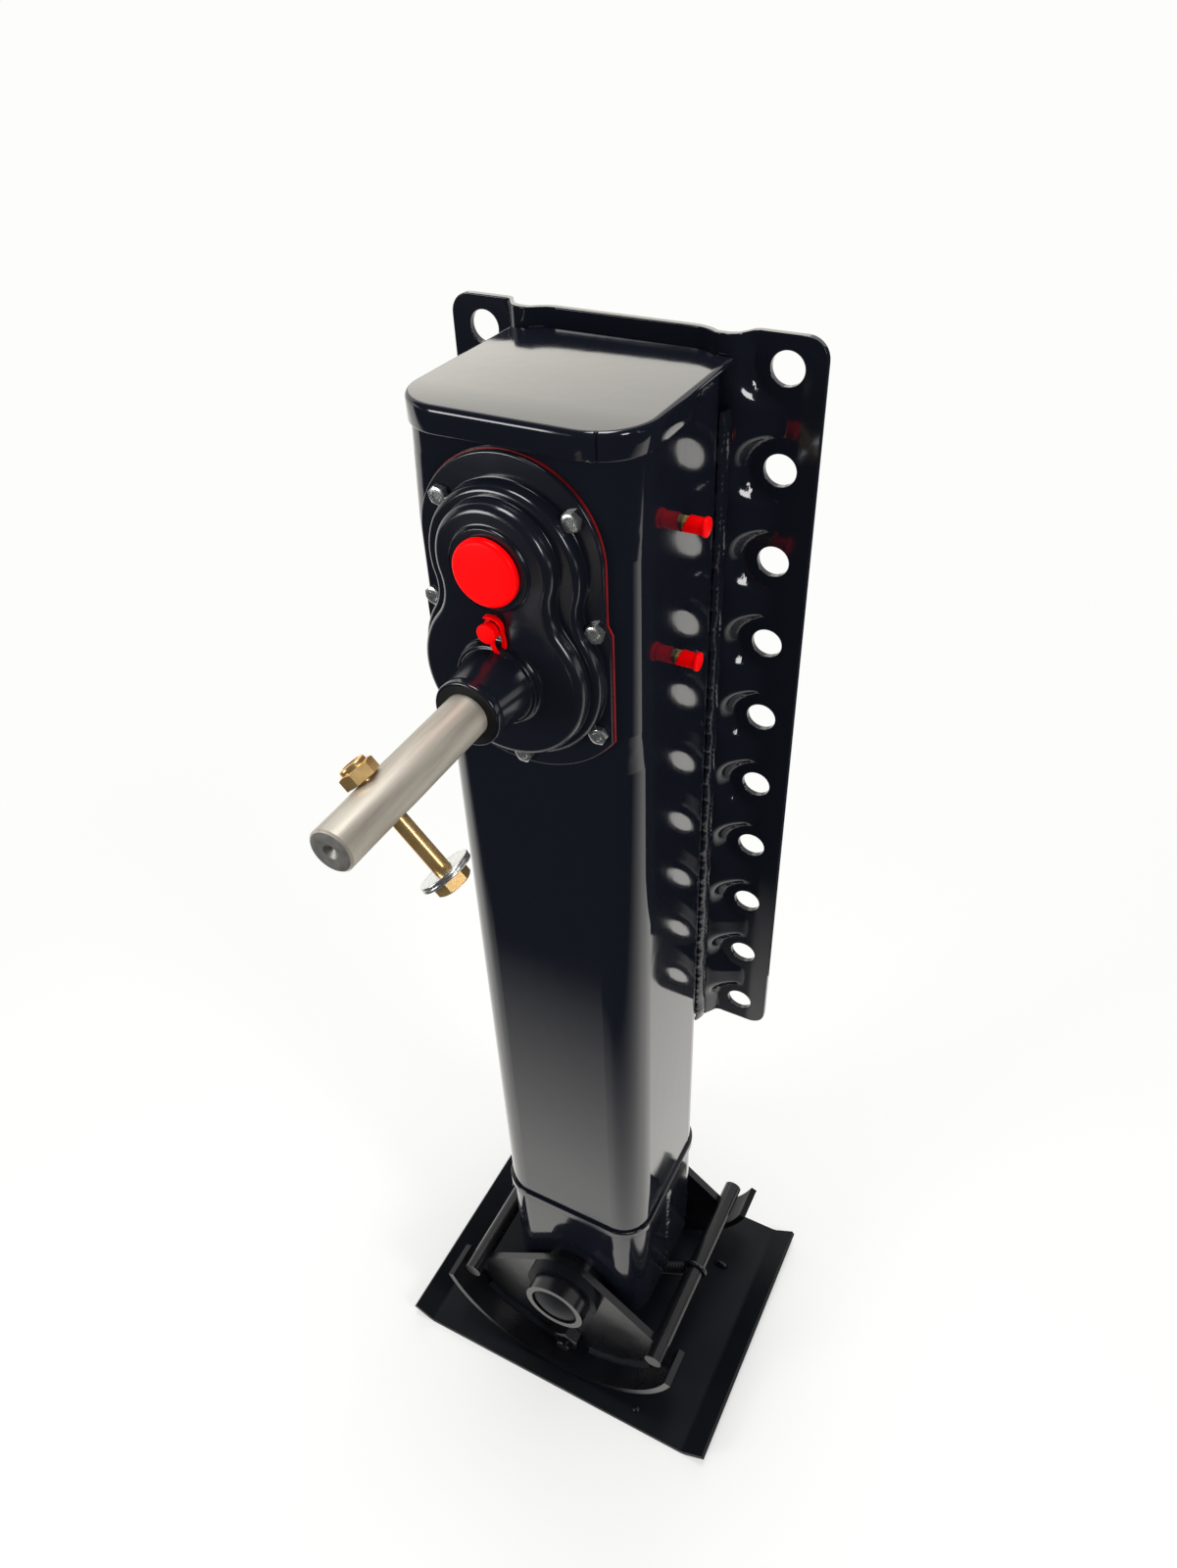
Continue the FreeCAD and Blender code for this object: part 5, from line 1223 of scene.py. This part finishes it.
def make_dark_canopy():
    """Dark sheets seen only in the leg's gloss: painted dark reflections of the surroundings.

    One hangs over and in front of the leg. A wall and a low strip stand on its right, and two boards beside
    its plate.
    """
    material, tree, _ = start_material("painted_dark_room_reflection")
    # Painted dark reflection: a faintly glowing dark sheet that only the leg's gloss shows
    painted_dark_reflection = add(tree, "ShaderNodeEmission", {"Color": linear("#22252c"), "Strength": 1.0})
    add(tree, "ShaderNodeOutputMaterial", {"Surface": painted_dark_reflection})
    rows = [[(-CANOPY_HALF_WIDTH, y, z), (CANOPY_HALF_WIDTH, y, z)] for y, z in CANOPY_PROFILE]
    only_mirrored(stage_sheet("dark_canopy", rows, material))
    wall_end_y = CANOPY_PROFILE[-1][0]
    wall_top = CANOPY_PROFILE[0][1]
    uprights = [
        ("dark_right_wall", (WALL_X, WALL_START_Y), (WALL_X, wall_end_y), UPRIGHT_FOOT, wall_top),
        ("low_strip", (STRIP_X, STRIP_START_Y), (STRIP_X, STRIP_END_Y), UPRIGHT_FOOT, STRIP_TOP),
        ("low_board", (BOARD_START_X, BOARD_Y), (BOARD_END_X, BOARD_Y), BOARD_LOW, BOARD_STEP),
        ("high_board", (BOARD_START_X, BOARD_Y), (4 * BOARD_END_X, BOARD_Y), BOARD_STEP, 2 * BOARD_STEP),
    ]
    for name, start, end, low, high in uprights:
        only_mirrored(stage_sheet(name, [[(*start, z), (*end, z)] for z in (low, high)], material))


def make_lamp(name, place_mm, target_mm, size_mm, watts, tint="#ffffff"):
    """Soft rectangular lamp that faces a point."""
    data = bpy.data.lights.new(name, "AREA")
    data.shape = "RECTANGLE"
    data.size = size_mm[0] * MM
    data.size_y = size_mm[1] * MM
    data.energy = watts
    data.color = linear(tint)[:3]
    lamp = bpy.data.objects.new(name, data)
    bpy.context.scene.collection.objects.link(lamp)
    lamp.location = Vector(place_mm) * MM
    aim = Vector(target_mm) * MM - lamp.location
    lamp.rotation_euler = aim.to_track_quat("-Z", "Y").to_euler()
    lamp.visible_camera = False


make_camera()
make_world()
make_floor()
make_dark_flag()
make_dark_canopy()
make_lamp("ceiling_lamp", (0, 200, 2600), (0, 0, 500), (800, 800), watts=27)
make_lamp("side_lamp", (1800, -600, 1500), (0, 0, 500), (420, 620), watts=12)
make_lamp("back_lamp", (-1000, 1792, 1600), (0, 0, 800), (1500, 1000), watts=7, tint="#fff9e9")
make_lamp("front_lamp", (-900, -1400, 780), (0, -60, 740), (500, 600), watts=11)

bpy.context.scene.view_settings.view_transform = "Standard"
